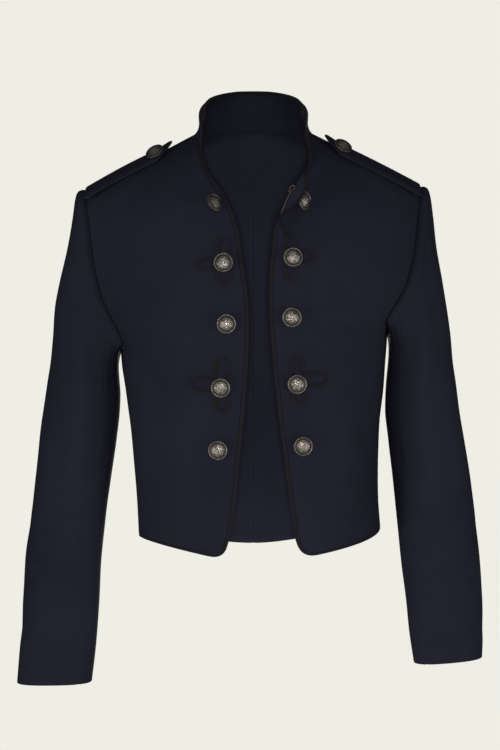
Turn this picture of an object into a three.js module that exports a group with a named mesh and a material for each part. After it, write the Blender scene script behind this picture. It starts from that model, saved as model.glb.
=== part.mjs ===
// A cropped military jacket worn open, as hollow cloth walls with their trim.
// Millimetres, +Z up. The wearer faces -Y and the wearer's right is -X.
// The origin lies between the two side neck points, where the shoulders carry the jacket.
import * as THREE from 'three';

// Driving dimensions
const WALL = 2.0;
const SEAM = 0.3;
const SLEEVE_GAP = 0.4;
const SQUARENESS = 2.5;
const RIDGE_Y = 6;
const ARMPIT = 0.56;
const BUTTON_RADIUS = 11.5;
const PIPING = { width: 5, thickness: 3.4, hemWidth: 3.2, leastStep: 3, gap: 0.4, sides: 8 };
const STRAP = {
  thickness: 2.8,
  centreY: -13,
  halfWidth: 22,
  tipLength: 16,
  lift: 0.8,
  seamInset: 2,
  foreDrop: 12.5,
  forePower: 1.6,
  aftDrop: 3.5,
  aftReach: 2,
  stations: 6,
};
const STRAP_SHARES = [-1, -0.67, -0.33, 0, 0.33, 0.67, 1];
const STRAP_POINT = [{ along: 0.45, half: 0.62 }, { along: 0, half: 0.12 }];
const FROG = { cordWidth: 4.8, cordHeight: 2, loopRadius: 7.8, upReach: 30, outReach: 33, sides: 6 };
const FROG_BENDS = {
  start: 0.86, startHeight: 2, up: 0.65, out: 0.7, cornerNear: 1.05, cornerFar: 1.35, arc: 7,
};
const TURN = { width: 19, bend: 11, angle: 2.75, rise: 0.2, low: -126, peak: -80, high: -34 };
const HEM_START = 0.06;
const STRIP_WIDTH = TURN.width - PIPING.width - SEAM;
const COLLAR_SWELL = { size: 60, pivot: 0.42, fade: 0.25 };
const SLEEVE_RAISE = 0.6;

const SIDES = { right: -1, left: 1 };
const EDGE_SEARCH = { start: 30, steps: 24, share: 0.7 };
const LEVEL_SEARCH_STEPS = 30;
const ROUNDING = 1e-6;

// Names the columns of a short table
function table(columns, rows) {
  const names = columns.trim().split(/\s+/);
  return rows.map((row) => Object.fromEntries(names.map((name, n) => [name, row[n]])));
}

// Body sections from hem to shoulder seam: heights at the side and at the centre, half widths, depths,
// the bow of the front hem and how widely the centre back is rounded
const BODY = table('level right left foreMid aftMid halfRight halfLeft fore aft hemLeft aftRound', [
  [0.000, -484, -474, -512, -501, 137.5, 152.5, 98, 93, 0.55, 0.35],
  [0.100, -444, -438, -455, -452, 139.5, 150.0, 101, 91, 0.85, 0.35],
  [0.200, -400, -396, -404, -402, 142.5, 149.5, 105, 90, 1, 0.35],
  [0.300, -356, -352, -357, -356, 146.5, 151.0, 110, 91, 1, 0.35],
  [0.400, -318, -310, -314, -314, 151.5, 155.0, 113, 94, 1, 0.35],
  [0.500, -280, -268, -274, -275, 157.5, 158.5, 115, 97, 1, 0.35],
  [0.560, -260, -233, -248, -250, 160.0, 162.0, 116, 99, 1, 0.35],
  [0.600, -243, -219, -228, -224, 171.0, 173.0, 116, 99.5, 1, 0.35],
  [0.640, -225, -204, -206, -198, 182.0, 184.0, 115.5, 99, 1, 0.32],
  [0.690, -199, -182, -175, -163, 195.0, 196.0, 114, 97.5, 1, 0.28],
  [0.745, -167, -154, -139, -124, 203.0, 203.0, 110, 93, 1, 0.24],
  [0.810, -129, -121, -93, -76, 207.5, 207.5, 100, 84, 1, 0.2],
  [0.870, -97, -91, -46, -26, 209.5, 209.0, 83, 72, 1, 0.17],
  [0.910, -83, -78, -12, 6, 209.0, 208.0, 64, 61, 1, 0.15],
  [0.940, -76, -72, 11, 19, 207.0, 206.0, 43, 42, 1, 0.13],
  [0.970, -72, -68, 27, 29, 204.0, 203.0, 22, 22, 1, 0.08],
  [1.000, -70, -66, 34, 34, 201.5, 200.0, 0, 0, 1, 0],
]);

// Armhole from armpit (0) to shoulder point (1): section level and turn from the side
const ARMHOLE = table('along level fore aft', [
  [0.00, 0.5600, 0.000, 0.000],
  [0.08, 0.5610, 0.090, 0.090],
  [0.16, 0.5650, 0.180, 0.170],
  [0.26, 0.5780, 0.245, 0.225],
  [0.38, 0.6100, 0.280, 0.245],
  [0.50, 0.6600, 0.288, 0.245],
  [0.60, 0.7150, 0.286, 0.240],
  [0.70, 0.7800, 0.276, 0.232],
  [0.79, 0.8400, 0.262, 0.222],
  [0.87, 0.8950, 0.235, 0.208],
  [0.94, 0.9480, 0.190, 0.170],
  [1.00, 1.0000, 0.000, 0.000],
]);

// Outer line of the front edge, with the rounded bottom corner, by height
const FRONT_EDGE = {
  right: table('z x', [
    [-512, 44], [-504, 39], [-498, 33], [-486, 29], [-462, 23], [-431, 19.2], [-386, 15.2], [-341, 10.5],
    [-310, 8.3], [-278, 5.8], [-236, 4.7], [-212, 5], [-179, 9.1], [-147, 14.1], [-124, 17], [-105, 23],
    [-79, 35.5], [-65, 46], [-52, 53], [-39, 58], [-20, 61.5], [0, 63],
  ]),
  left: table('z x', [
    [-510, 66], [-501, 60], [-493, 52.5], [-482, 48], [-462, 44.7], [-431, 40.2], [-386, 34.7], [-341, 28.3],
    [-319, 26.1], [-286, 22.2], [-253, 19.5], [-228, 17.9], [-193, 17.1], [-163, 18.8], [-135, 22.2],
    [-124, 25], [-107, 32.7], [-82, 42.5], [-71, 49], [-52, 59], [-38, 63], [-20, 64.5], [0, 65],
  ]),
};
const FRONT_NECK = { level: 0.932, rows: 2 };
const BACK_NECK = { level: 0.91, rows: 5 };
const FORE_NECKLINE = table('along x level', [
  [0, 62, 0.932], [0.35, 66, 0.951], [0.7, 69.5, 0.975], [1, 71, 1],
]);
const AFT_NECKLINE = table('along x level', [
  [0, 0, 0.91], [0.25, 25, 0.9175], [0.5, 46, 0.9325], [0.75, 62, 0.954], [1, 71, 1],
]);

// Upper edge of the collar's cloth from centre back (0) towards the front end
const COLLAR_TOP = table('along x y z', [
  [0.00, 0, 61, 53.2], [0.15, 17, 59, 52.7], [0.34, 38, 46, 48.7], [0.55, 53, 20, 41.3], [0.70, 57.7, 0, 35.5],
  [0.80, 58.8, -9, 32], [0.87, 59.6, -16, 28.5], [0.93, 60.6, -22.5, 23], [0.965, 61.6, -26.3, 15],
  [1.00, 62.6, -30.5, 4],
]);
const COLLAR_SIDE = 0.7;

// Sleeve sections from armhole (0) to cuff: outer and inner outline, centre and half of the depth,
// and how far a section still follows the armhole
const SLEEVE = {
  right: table('outX outZ inX inZ midY depth follow', [
    [201.5, -70, 160, -260, 4, 50, 1], [208, -71, 160.9, -261.5, 4, 52, 0.97],
    [213.5, -80, 161.4, -263.5, 4, 54, 0.85], [217.5, -105, 161.8, -266.5, 4, 56, 0.65],
    [223.5, -141, 162, -270.5, 4.5, 57.5, 0.45], [232, -178, 162, -276, 5, 58.5, 0.28],
    [238.5, -213, 161.9, -283, 6, 59, 0.14], [241.5, -249, 161.4, -292, 7, 59, 0.05],
    [244, -275, 160.6, -302, 8, 59, 0], [248, -300, 160, -314, 8, 58.5, 0],
    [252.6, -334, 161, -334, 8, 57.5, 0], [257.4, -370, 165, -370, 8, 55, 0],
    [262.0, -417, 171.6, -417, 5, 51.5, 0], [267.3, -465, 177.5, -465, 0, 48, 0],
    [272.4, -512, 182, -512, -7, 44.5, 0], [274, -558, 184, -558, -14, 41, 0],
    [276.8, -604, 187, -604, -20, 38, 0], [280.6, -656, 192, -655, -26, 35, 0],
  ]),
  left: table('outX outZ inX inZ midY depth follow', [
    [200, -66, 162, -233, 4, 50, 1], [206, -67, 162.6, -235, 4, 52, 0.97],
    [211.5, -78, 163, -238, 4, 54, 0.85], [215.5, -104, 163.2, -242, 4, 56, 0.65],
    [219.5, -141, 163.2, -247.5, 4.5, 57.5, 0.45], [226, -178, 163, -255, 5, 58.5, 0.28],
    [232, -213, 162.6, -265, 6, 59, 0.14], [237, -249, 161.6, -278, 7, 59, 0.05],
    [239.5, -274, 160.4, -292, 8, 59, 0], [243, -299, 159.4, -308, 8, 58.5, 0],
    [247.8, -334, 158.8, -334, 8, 57.5, 0], [253.8, -370, 162.6, -370, 8, 55, 0],
    [260.8, -417, 167.4, -417, 5, 51.5, 0], [266.2, -465, 171.8, -465, 0, 48, 0],
    [270.2, -512, 176.4, -512, -7, 44.5, 0], [272.0, -555, 181.6, -555, -14, 41, 0],
    [272.6, -595, 185.2, -595, -19, 38, 0], [271, -626, 190.4, -633, -24, 35.5, 0],
  ]),
};
const SLEEVE_TURN = table('turn along', [
  [0, 1], [20, 0.955], [45, 0.87], [70, 0.76], [90, 0.66], [110, 0.53], [130, 0.38], [145, 0.27],
  [160, 0.16], [180, 0],
]);
const SLEEVE_SEAMS = { fore: 128, aft: 245 };

// Button centres on the fronts by height, with the lean of each one
const BUTTONS = {
  right: table('x z lean turn', [
    [45.8, -90, 8, -6], [34.5, -163, 0, 0], [30.9, -233, 0, 0], [37.4, -305.5, 7, 0], [40.6, -377.7, 0, 0],
  ]),
  left: table('x z lean turn', [
    [55.5, -88, 0, 6], [45.0, -157, 0, 0], [43.4, -225.5, 0, 0], [49.7, -301.5, 6, -4], [56.1, -373, 0, 0],
  ]),
};
const FROG_ROWS = [1, 3];
const STRAPS = { right: { tip: 97, button: 114, arch: 2 }, left: { tip: 85, button: 103, arch: 1.2 } };

const CLOTH = { color: 0x232330, roughness: 0.92, metalness: 0 };
const TRIM = { color: 0x1b1a20, roughness: 0.8, metalness: 0 };
const PEWTER = { color: 0x8f857a, roughness: 0.35, metalness: 0.9 };

// Smooth curve without overshoot through one column of a table
function track(rows, key, column) {
  const xs = rows.map((row) => row[key]);
  const ys = rows.map((row) => row[column]);
  const last = xs.length - 1;
  const steps = xs.slice(1).map((x, n) => (ys[n + 1] - ys[n]) / (x - xs[n]));
  const slopes = xs.map((x, n) => {
    if (n === 0) return steps[0];
    if (n === last) return steps[last - 1];
    if (steps[n - 1] * steps[n] <= 0) return 0;
    return 2 / (1 / steps[n - 1] + 1 / steps[n]);
  });
  return (at) => {
    const value = Math.min(Math.max(at, xs[0]), xs[last]);
    let n = 0;
    while (n < last - 1 && value > xs[n + 1]) n += 1;
    const span = xs[n + 1] - xs[n];
    const t = (value - xs[n]) / span;
    const left = ys[n] * (1 + 2 * t) * (1 - t) ** 2 + slopes[n] * span * t * (1 - t) ** 2;
    const right = ys[n + 1] * t * t * (3 - 2 * t) - slopes[n + 1] * span * t * t * (1 - t);
    return left + right;
  };
}

function tracks(rows, key) {
  const columns = Object.keys(rows[0]).filter((name) => name !== key);
  return Object.fromEntries(columns.map((name) => [name, track(rows, key, name)]));
}

const mix = (from, to, share) => from + (to - from) * share;
const vector = (x, y, z) => new THREE.Vector3(x, y, z);
const signedPower = (value, power) => Math.sign(value) * Math.abs(value) ** power;

const body = tracks(BODY, 'level');
const armhole = tracks(ARMHOLE, 'along');
const foreNeckline = tracks(FORE_NECKLINE, 'along');
const aftNeckline = tracks(AFT_NECKLINE, 'along');
const collarTop = tracks(COLLAR_TOP, 'along');
const sleeveTurn = track(SLEEVE_TURN, 'turn', 'along');
const frontEdge = { right: tracks(FRONT_EDGE.right, 'z').x, left: tracks(FRONT_EDGE.left, 'z').x };

// Half width, side height and height rule of one side of the body at a level
function section(side, level) {
  const isRight = side === 'right';
  return {
    half: isRight ? body.halfRight(level) : body.halfLeft(level),
    sideZ: isRight ? body.right(level) : body.left(level),
    power: isRight ? 1 : body.hemLeft(level),
  };
}

// Share of the way from side to middle, with the ridge at the middle rounded off by an amount
function rounded(across, amount) {
  const soft = (value) => Math.hypot(value, amount) - amount;
  return 1 - soft(across) / soft(1);
}

// Point of the body: turn 1 is the centre front, 0 the side, -1 the centre back
function bodyPoint(side, turn, level) {
  if (level > 1) return bodyPoint(side, -turn, 2 - level);
  const { half, sideZ, power } = section(side, level);
  const angle = (Math.abs(turn) * Math.PI) / 2;
  const across = signedPower(Math.cos(angle), 2 / SQUARENESS);
  const out = Math.sin(angle) ** (2 / SQUARENESS);
  const midZ = turn >= 0 ? body.foreMid(level) : body.aftMid(level);
  const depth = turn >= 0 ? -body.fore(level) : body.aft(level);
  const share = turn >= 0 ? (1 - across) ** power : rounded(across, body.aftRound(level));
  return vector(SIDES[side] * half * across, RIDGE_Y + depth * out, sideZ + (midZ - sideZ) * share);
}

function bodyNormal(side, turn, level) {
  const step = 0.004;
  const low = Math.max(0, level - step);
  const across = bodyPoint(side, turn + step, level).sub(bodyPoint(side, turn - step, level));
  const up = bodyPoint(side, turn, level + step).sub(bodyPoint(side, turn, low));
  return across.cross(up).multiplyScalar(-SIDES[side]).normalize();
}

// Turn from the side that gives a distance x from the middle on one level
function turnAt(side, x, level) {
  const share = Math.min(1, Math.max(0, x) / section(side, level).half);
  return (Math.acos(share ** (SQUARENESS / 2)) * 2) / Math.PI;
}

// Level where the front surface at a distance x from the middle has the height z
function levelAt(side, x, z) {
  let low = 0;
  let high = 1;
  for (let n = 0; n < LEVEL_SEARCH_STEPS; n += 1) {
    const level = (low + high) / 2;
    if (bodyPoint(side, turnAt(side, x, level), level).z < z) low = level;
    else high = level;
  }
  return (low + high) / 2;
}

// Place and outward normal on a front, by distance from the middle and height
function onFront(side, x, z) {
  const level = levelAt(side, x, z);
  const turn = turnAt(side, x, level);
  return { place: bodyPoint(side, turn, level), normal: bodyNormal(side, turn, level) };
}

// Underside of the epaulette over the shoulder seam, by distance from the middle and depth
function strapPoint(side, x, y) {
  const { tip, arch: rise } = STRAPS[side];
  const start = strapStart(side);
  const seam = bodyPoint(side, turnAt(side, x, 1), 1);
  const arch = rise * Math.sin(Math.PI * Math.min(1, Math.max(0, (start - x) / (start - tip))));
  const reach = (y - RIDGE_Y) / (STRAP.halfWidth - STRAP.centreY + RIDGE_Y);
  const drop = reach < 0
    ? STRAP.foreDrop * Math.abs(reach) ** STRAP.forePower
    : STRAP.aftDrop * (STRAP.aftReach * reach) ** 2;
  return vector(seam.x, y, seam.z + STRAP.lift + arch - drop);
}

function strapCell(side, x, y, height) {
  const along = strapPoint(side, x + 1, y).sub(strapPoint(side, x - 1, y));
  const across = strapPoint(side, x, y + 1).sub(strapPoint(side, x, y - 1));
  const normal = along.cross(across).multiplyScalar(SIDES[side]).normalize();
  return { place: strapPoint(side, x, y).addScaledVector(normal, height), normal };
}

function strapStart(side) {
  return section(side, 1).half - STRAP.seamInset;
}

function cell(side, turn, level) {
  return { place: bodyPoint(side, turn, level), normal: bodyNormal(side, turn, level) };
}

// How far the wearer's left edge is turned back at a height, from 0 to 1
function turnedShare(side, z) {
  if (side === 'right') return 0;
  const reach = z < TURN.peak ? TURN.peak - TURN.low : TURN.high - TURN.peak;
  const share = Math.max(0, 1 - Math.abs(z - TURN.peak) / reach);
  return share * share * (3 - 2 * share);
}

// How much nearer to the middle the edge would lie if it weren't turned back
function turnReach(share) {
  if (share === 0) return 0;
  const bent = TURN.angle * share;
  const radius = TURN.bend / bent;
  const straight = (TURN.width - TURN.bend) * Math.cos(bent);
  return TURN.width - (bent < Math.PI / 2 ? radius * Math.sin(bent) + straight : radius);
}

// Distance of the front edge from the middle on one level
function edgeX(side, level) {
  let x = EDGE_SEARCH.start;
  for (let n = 0; n < EDGE_SEARCH.steps; n += 1) {
    const { z } = bodyPoint(side, turnAt(side, x, level), level);
    x = mix(x, frontEdge[side](z) - turnReach(turnedShare(side, z)), EDGE_SEARCH.share);
  }
  return Math.max(x, 0);
}

// Outer boundary of a front or back row: where it starts at the side or armhole, and where it ends
function rowEnds(side, isFront, row, counts) {
  const neck = isFront ? FRONT_NECK : BACK_NECK;
  const neckline = isFront ? foreNeckline : aftNeckline;
  if (row <= counts.side) {
    const level = (ARMPIT * row) / counts.side;
    const x = isFront ? edgeX(side, level) : 0;
    return { start: { turn: 0, level }, end: { turn: turnAt(side, x, level), level } };
  }
  const along = (row - counts.side) / counts.arm;
  const neckAlong = 1 - neck.rows / counts.arm;
  const start = { turn: isFront ? armhole.fore(along) : armhole.aft(along), level: armhole.level(along) };
  if (row <= counts.side + counts.arm - neck.rows) {
    const level = mix(ARMPIT, neck.level, along / neckAlong);
    const x = isFront ? edgeX(side, level) : 0;
    return { start, end: { turn: turnAt(side, x, level), level } };
  }
  const share = (along - neckAlong) / (1 - neckAlong);
  const level = neckline.level(share);
  return { start, end: { turn: turnAt(side, neckline.x(share), level), level } };
}

// Moves the border points of a grid inward along its rows or columns
function inset(grid, amounts) {
  const lastRow = grid.length - 1;
  const lastColumn = grid[0].length - 1;
  const pull = (point, towards, distance) => {
    const direction = towards.place.clone().sub(point.place).normalize();
    point.place.addScaledVector(direction, distance);
  };
  grid.forEach((row, n) => {
    pull(row[0], row[1], amounts.start(n));
    pull(row[lastColumn], row[lastColumn - 1], amounts.end(n));
  });
  for (let c = 0; c <= lastColumn; c += 1) {
    pull(grid[0][c], grid[1][c], amounts.bottom);
    pull(grid[lastRow][c], grid[lastRow - 1][c], amounts.top);
  }
  return grid;
}

// Rolls the last columns of a front outward, as the turned-back edge below the collar
function turnBack(side, row, columns) {
  const fold = row[row.length - 1 - columns];
  const share = turnedShare(side, row[row.length - 1].place.z);
  if (share === 0) return;
  const bent = TURN.angle * share;
  const radius = TURN.bend / bent;
  const outward = row[row.length - columns].place.clone().sub(fold.place).normalize();
  const up = fold.normal.clone();
  const start = fold.place.clone();
  for (let n = 1; n <= columns; n += 1) {
    const point = row[row.length - 1 - columns + n];
    const distance = (STRIP_WIDTH * n) / columns;
    const angle = Math.min(1, distance / TURN.bend) * bent;
    const straight = Math.max(0, distance - TURN.bend);
    const drop = point.place.z - start.z;
    const u = radius * Math.sin(angle) + straight * Math.cos(angle);
    const v = radius * (1 - Math.cos(angle)) + straight * Math.sin(angle);
    point.place = start.clone().addScaledVector(outward, u).addScaledVector(up, v);
    point.place.z += drop * share * TURN.rise;
    point.normal = up.clone().multiplyScalar(Math.cos(angle)).addScaledVector(outward, -Math.sin(angle));
  }
}

// Places a strip of even columns along the end of each row, for the edge that can turn back
function addStrip(row, columns) {
  const end = row[row.length - 1];
  const before = row[row.length - 2];
  const inward = before.place.clone().sub(end.place);
  const share = STRIP_WIDTH / inward.length();
  const turns = [];
  for (let n = columns; n > 0; n -= 1) {
    turns.push({
      place: end.place.clone().addScaledVector(inward, (share * n) / columns),
      normal: end.normal.clone().lerp(before.normal, (share * n) / columns).normalize(),
    });
  }
  row.splice(row.length - 1, 0, ...turns);
}

function panelGrid(side, isFront, counts) {
  const grid = [];
  for (let r = 0; r <= counts.side + counts.arm; r += 1) {
    const { start, end } = rowEnds(side, isFront, r, counts);
    const row = [];
    const sign = isFront ? 1 : -1;
    for (let c = 0; c <= counts.columns; c += 1) {
      const share = c / counts.columns;
      const turn = sign * mix(start.turn, end.turn, share);
      row.push(cell(side, turn, mix(start.level, end.level, share)));
    }
    grid.push(row);
  }
  return grid;
}

const FRONT_COUNTS = { side: 11, arm: 14, columns: 10, strip: 4 };
const BACK_COUNTS = { side: 9, arm: 14, columns: 9 };

function frontGrid(side) {
  const grid = panelGrid(side, true, FRONT_COUNTS);
  const neckRow = FRONT_COUNTS.side + FRONT_COUNTS.arm - FRONT_NECK.rows;
  const edgeInset = (row) => (row <= neckRow ? PIPING.width + SEAM : SEAM / 2);
  const amounts = { start: () => SEAM / 2, end: edgeInset, bottom: PIPING.hemWidth + SEAM, top: SEAM / 2 };
  inset(grid, amounts);
  if (side === 'left') {
    grid.forEach((row) => {
      addStrip(row, FRONT_COUNTS.strip);
      turnBack(side, row, FRONT_COUNTS.strip);
    });
  }
  return { grid, neckRow };
}

function backGrid(side) {
  const amounts = { start: () => SEAM / 2, end: () => SEAM / 2, bottom: 0, top: SEAM / 2 };
  return inset(panelGrid(side, false, BACK_COUNTS), amounts);
}

// Corner of the neck seam, which the collar shares with the panels: numbered from the centre back
function neckCorner(side, number) {
  const isBack = number <= BACK_NECK.rows;
  const share = isBack ? number / BACK_NECK.rows : 1 - (number - BACK_NECK.rows) / FRONT_NECK.rows;
  const neckline = isBack ? aftNeckline : foreNeckline;
  const level = neckline.level(share);
  const turn = turnAt(side, neckline.x(share), level);
  return bodyPoint(side, isBack ? -turn : turn, level);
}

// Neck seam of one side from centre back (0) to front end (1)
function necklinePoint(side, along) {
  const isBack = along <= COLLAR_SIDE;
  const number = isBack
    ? (along / COLLAR_SIDE) * BACK_NECK.rows
    : BACK_NECK.rows + ((along - COLLAR_SIDE) / (1 - COLLAR_SIDE)) * FRONT_NECK.rows;
  const before = Math.min(Math.floor(number + ROUNDING), BACK_NECK.rows + FRONT_NECK.rows - 1);
  return neckCorner(side, before).lerp(neckCorner(side, before + 1), number - before);
}

function collarPoint(position, up) {
  const side = position < 0 ? 'right' : 'left';
  const along = Math.abs(position);
  const base = necklinePoint(side, along);
  const top = vector(SIDES[side] * collarTop.x(along), collarTop.y(along), collarTop.z(along));
  const outward = vector(base.x, base.y - RIDGE_Y, 0).normalize();
  const fade = Math.min(1, (1 - along) / COLLAR_SWELL.fade);
  const swell = COLLAR_SWELL.size * fade * up * (1 - up) * (up - COLLAR_SWELL.pivot);
  return base.lerp(top, up).addScaledVector(outward, swell);
}

// Outward normal of the collar, which above the middle of its height keeps one direction
function collarNormal(position, up) {
  const step = 0.01;
  const height = Math.min(up, 0.5);
  const along = collarPoint(position + step, height).sub(collarPoint(position - step, height));
  const rise = collarPoint(position, height + step).sub(collarPoint(position, Math.max(0, height - step)));
  return along.cross(rise).normalize().negate();
}

const COLLAR_POSITIONS = [0.965, 0.93, 0.89, 0.84, 0.78, 0.7, 0.56, 0.42, 0.28, 0.14];

function collarGrid() {
  const positions = [...COLLAR_POSITIONS.map((p) => -p), 0, ...COLLAR_POSITIONS.toReversed()];
  const grid = [0, 0.25, 0.5, 0.75, 1].map((up) => positions.map((position) => (
    { place: collarPoint(position, up), normal: collarNormal(position, up) }
  )));
  return inset(grid, { start: () => 0, end: () => 0, bottom: SEAM, top: 0 });
}

// Closed mesh from an outer and an inner grid of points, open or joined round its columns
function wallGeometry(outer, inner) {
  const rows = outer.length;
  const columns = outer[0].length;
  const positions = [];
  [outer, inner].forEach((grid) => grid.forEach((row) => row.forEach((p) => positions.push(p.x, p.y, p.z))));
  const at = (layer, r, c) => layer * rows * columns + r * columns + c;
  const faces = [];
  const quad = (a, b, c, d) => faces.push(a, b, c, a, c, d);
  for (let r = 0; r < rows - 1; r += 1) {
    for (let c = 0; c < columns - 1; c += 1) {
      quad(at(0, r, c), at(0, r, c + 1), at(0, r + 1, c + 1), at(0, r + 1, c));
      quad(at(1, r, c), at(1, r + 1, c), at(1, r + 1, c + 1), at(1, r, c + 1));
    }
  }
  for (let r = 0; r < rows - 1; r += 1) {
    quad(at(0, r, 0), at(0, r + 1, 0), at(1, r + 1, 0), at(1, r, 0));
    quad(at(0, r + 1, columns - 1), at(0, r, columns - 1), at(1, r, columns - 1), at(1, r + 1, columns - 1));
  }
  for (let c = 0; c < columns - 1; c += 1) {
    quad(at(0, 0, c + 1), at(0, 0, c), at(1, 0, c), at(1, 0, c + 1));
    quad(at(0, rows - 1, c), at(0, rows - 1, c + 1), at(1, rows - 1, c + 1), at(1, rows - 1, c));
  }
  return solidGeometry(positions, faces);
}

// Geometry with its faces pointing out
function solidGeometry(positions, faces) {
  let volume = 0;
  const p = (n) => vector(positions[3 * n], positions[3 * n + 1], positions[3 * n + 2]);
  for (let n = 0; n < faces.length; n += 3) {
    volume += p(faces[n]).dot(p(faces[n + 1]).cross(p(faces[n + 2])));
  }
  if (volume < 0) faces.reverse();
  const geometry = new THREE.BufferGeometry();
  geometry.setAttribute('position', new THREE.Float32BufferAttribute(positions, 3));
  geometry.setIndex(faces);
  geometry.computeVertexNormals();
  return geometry;
}

function clothWall(grid, thickness = WALL) {
  const outer = grid.map((row) => row.map((point) => point.place));
  const inner = grid.map((row) => row.map((point) => (
    point.place.clone().addScaledVector(point.normal, -thickness)
  )));
  return wallGeometry(outer, inner);
}

// Closed sweep of an oval section along stations with a centre, a sideways and an upward direction
function sweepGeometry(stations, sides) {
  const positions = [];
  const faces = [];
  stations.forEach(({ centre, across, up, width, height }) => {
    for (let n = 0; n < sides; n += 1) {
      const angle = (2 * Math.PI * (n + 0.5)) / sides;
      const point = centre.clone().addScaledVector(across, (Math.cos(angle) * width) / 2);
      point.addScaledVector(up, (Math.sin(angle) * height) / 2);
      positions.push(point.x, point.y, point.z);
    }
  });
  for (let s = 0; s < stations.length - 1; s += 1) {
    for (let n = 0; n < sides; n += 1) {
      const next = (n + 1) % sides;
      const a = s * sides + n;
      const b = s * sides + next;
      faces.push(a, b, b + sides, a, b + sides, a + sides);
    }
  }
  const last = (stations.length - 1) * sides;
  for (let n = 1; n < sides - 1; n += 1) {
    faces.push(0, n + 1, n, last, last + n, last + n + 1);
  }
  return solidGeometry(positions, faces);
}

// Border points of a front that carry piping, from the side seam along the hem and up the edge
function frontBorder(grid, neckRow) {
  const last = grid[0].length - 1;
  const points = grid[0].slice(0, last).map((point) => ({ ...point, width: PIPING.hemWidth }));
  points[0].place = points[0].place.clone().lerp(points[1].place, HEM_START);
  points.push({ ...grid[0][last], width: mix(PIPING.hemWidth, PIPING.width, 0.5) });
  for (let r = 1; r < neckRow; r += 1) points.push({ ...grid[r][last], width: PIPING.width });
  return points;
}

// Border points of the collar up one end, along the top and down the other end
function collarBorder(grid) {
  const last = grid[0].length - 1;
  const ends = grid.slice(1, -1);
  const rising = ends.map((row) => row[0]);
  const falling = ends.map((row) => row[last]).toReversed();
  const points = [...rising, ...grid[grid.length - 1], ...falling];
  return points.map((point) => ({ ...point, width: PIPING.width }));
}

// Stations of the piping beside a run of border points, clear of the cloth by the seam
function pipingStations(run) {
  const isApart = (point, n) => n === 0 || point.place.distanceTo(run[n - 1].place) > PIPING.leastStep;
  const points = run.filter(isApart);
  return points.map(({ place, normal, width }, n) => {
    const before = points[Math.max(0, n - 1)].place;
    const after = points[Math.min(points.length - 1, n + 1)].place;
    const across = after.clone().sub(before).cross(normal).normalize();
    const centre = place.clone().addScaledVector(across, PIPING.gap + width / 2);
    centre.addScaledVector(normal, -WALL / 2);
    return { centre, across, up: normal, width, height: PIPING.thickness };
  });
}

// Armhole seam on the body: 0 degrees is the shoulder point, 90 the front, 180 the armpit
function armholePoint(side, degrees) {
  const isFront = degrees <= 180;
  const along = sleeveTurn(isFront ? degrees : 360 - degrees);
  const turn = isFront ? armhole.fore(along) : -armhole.aft(along);
  const { place, normal } = cell(side, turn, armhole.level(along));
  return place.addScaledVector(normal, SLEEVE_RAISE);
}

const sleeveTracks = {};
Object.keys(SIDES).forEach((side) => {
  const rows = SLEEVE[side].map((row, n) => ({ ...row, station: n }));
  sleeveTracks[side] = tracks(rows, 'station');
});

function sleeveOval(side, station, degrees) {
  const row = sleeveTracks[side];
  const angle = (degrees * Math.PI) / 180;
  const outX = row.outX(station);
  const inX = row.inX(station);
  const outZ = row.outZ(station);
  const inZ = row.inZ(station);
  return vector(
    SIDES[side] * ((outX + inX) / 2 + ((outX - inX) / 2) * Math.cos(angle)),
    row.midY(station) - row.depth(station) * Math.sin(angle),
    (outZ + inZ) / 2 + ((outZ - inZ) / 2) * Math.cos(angle),
  );
}

function sleevePoint(side, station, degrees) {
  const turned = ((degrees % 360) + 360) % 360;
  const follow = sleeveTracks[side].follow(station);
  const point = sleeveOval(side, station, turned);
  const rest = armholePoint(side, turned).sub(sleeveOval(side, 0, turned));
  return point.addScaledVector(rest, follow);
}

function sleeveCell(side, station, degrees) {
  const last = SLEEVE[side].length - 1;
  const low = Math.max(0, station - 0.04);
  const high = Math.min(last, station + 0.04);
  const round = sleevePoint(side, station, degrees + 1.5).sub(sleevePoint(side, station, degrees - 1.5));
  const down = sleevePoint(side, high, degrees).sub(sleevePoint(side, low, degrees));
  const normal = round.cross(down).multiplyScalar(SIDES[side]).normalize();
  return { place: sleevePoint(side, station, degrees), normal };
}

function sleeveGrid(side, from, to, columns) {
  const last = SLEEVE[side].length - 1;
  const grid = [];
  for (let station = 0; station <= last; station += 1) {
    const row = [];
    for (let c = 0; c <= columns; c += 1) row.push(sleeveCell(side, station, mix(from, to, c / columns)));
    grid.push(row);
  }
  return inset(grid, { start: () => SLEEVE_GAP / 2, end: () => SLEEVE_GAP / 2, bottom: SLEEVE_GAP, top: 0 });
}

// Epaulette lying on the shoulder from the armhole to its point near the collar
function strapGrid(side) {
  const { tip } = STRAPS[side];
  const start = strapStart(side);
  const straight = tip + STRAP.tipLength;
  const stations = [];
  for (let n = 0; n <= STRAP.stations; n += 1) {
    stations.push([mix(start, straight, n / STRAP.stations), STRAP.halfWidth]);
  }
  STRAP_POINT.forEach(({ along, half }) => {
    stations.push([tip + STRAP.tipLength * along, STRAP.halfWidth * half]);
  });
  return stations.map(([x, halfWidth]) => STRAP_SHARES.map((share) => (
    strapCell(side, x, STRAP.centreY + halfWidth * share, STRAP.thickness)
  )));
}

// Button from the edge of its shank to the middle of its dome, as heights over the top of the shank
const BUTTON_PROFILE = table('radius height', [
  [3, 0], [10.4, 0.3], [BUTTON_RADIUS, 1.6], [10.5, 2.7], [9.2, 2.4], [5, 4.2], [0, 4.9],
]);
const BUTTON_SIDES = 12;
const SHANK = { front: 3.4, strap: 1.6 };

function buttonGeometry(shank) {
  const profile = BUTTON_PROFILE.map(({ radius, height }) => new THREE.Vector2(radius, shank + height));
  profile.unshift(new THREE.Vector2(0, 0), new THREE.Vector2(BUTTON_PROFILE[0].radius, 0));
  const geometry = new THREE.LatheGeometry(profile, BUTTON_SIDES);
  return geometry.rotateX(Math.PI / 2);
}

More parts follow.
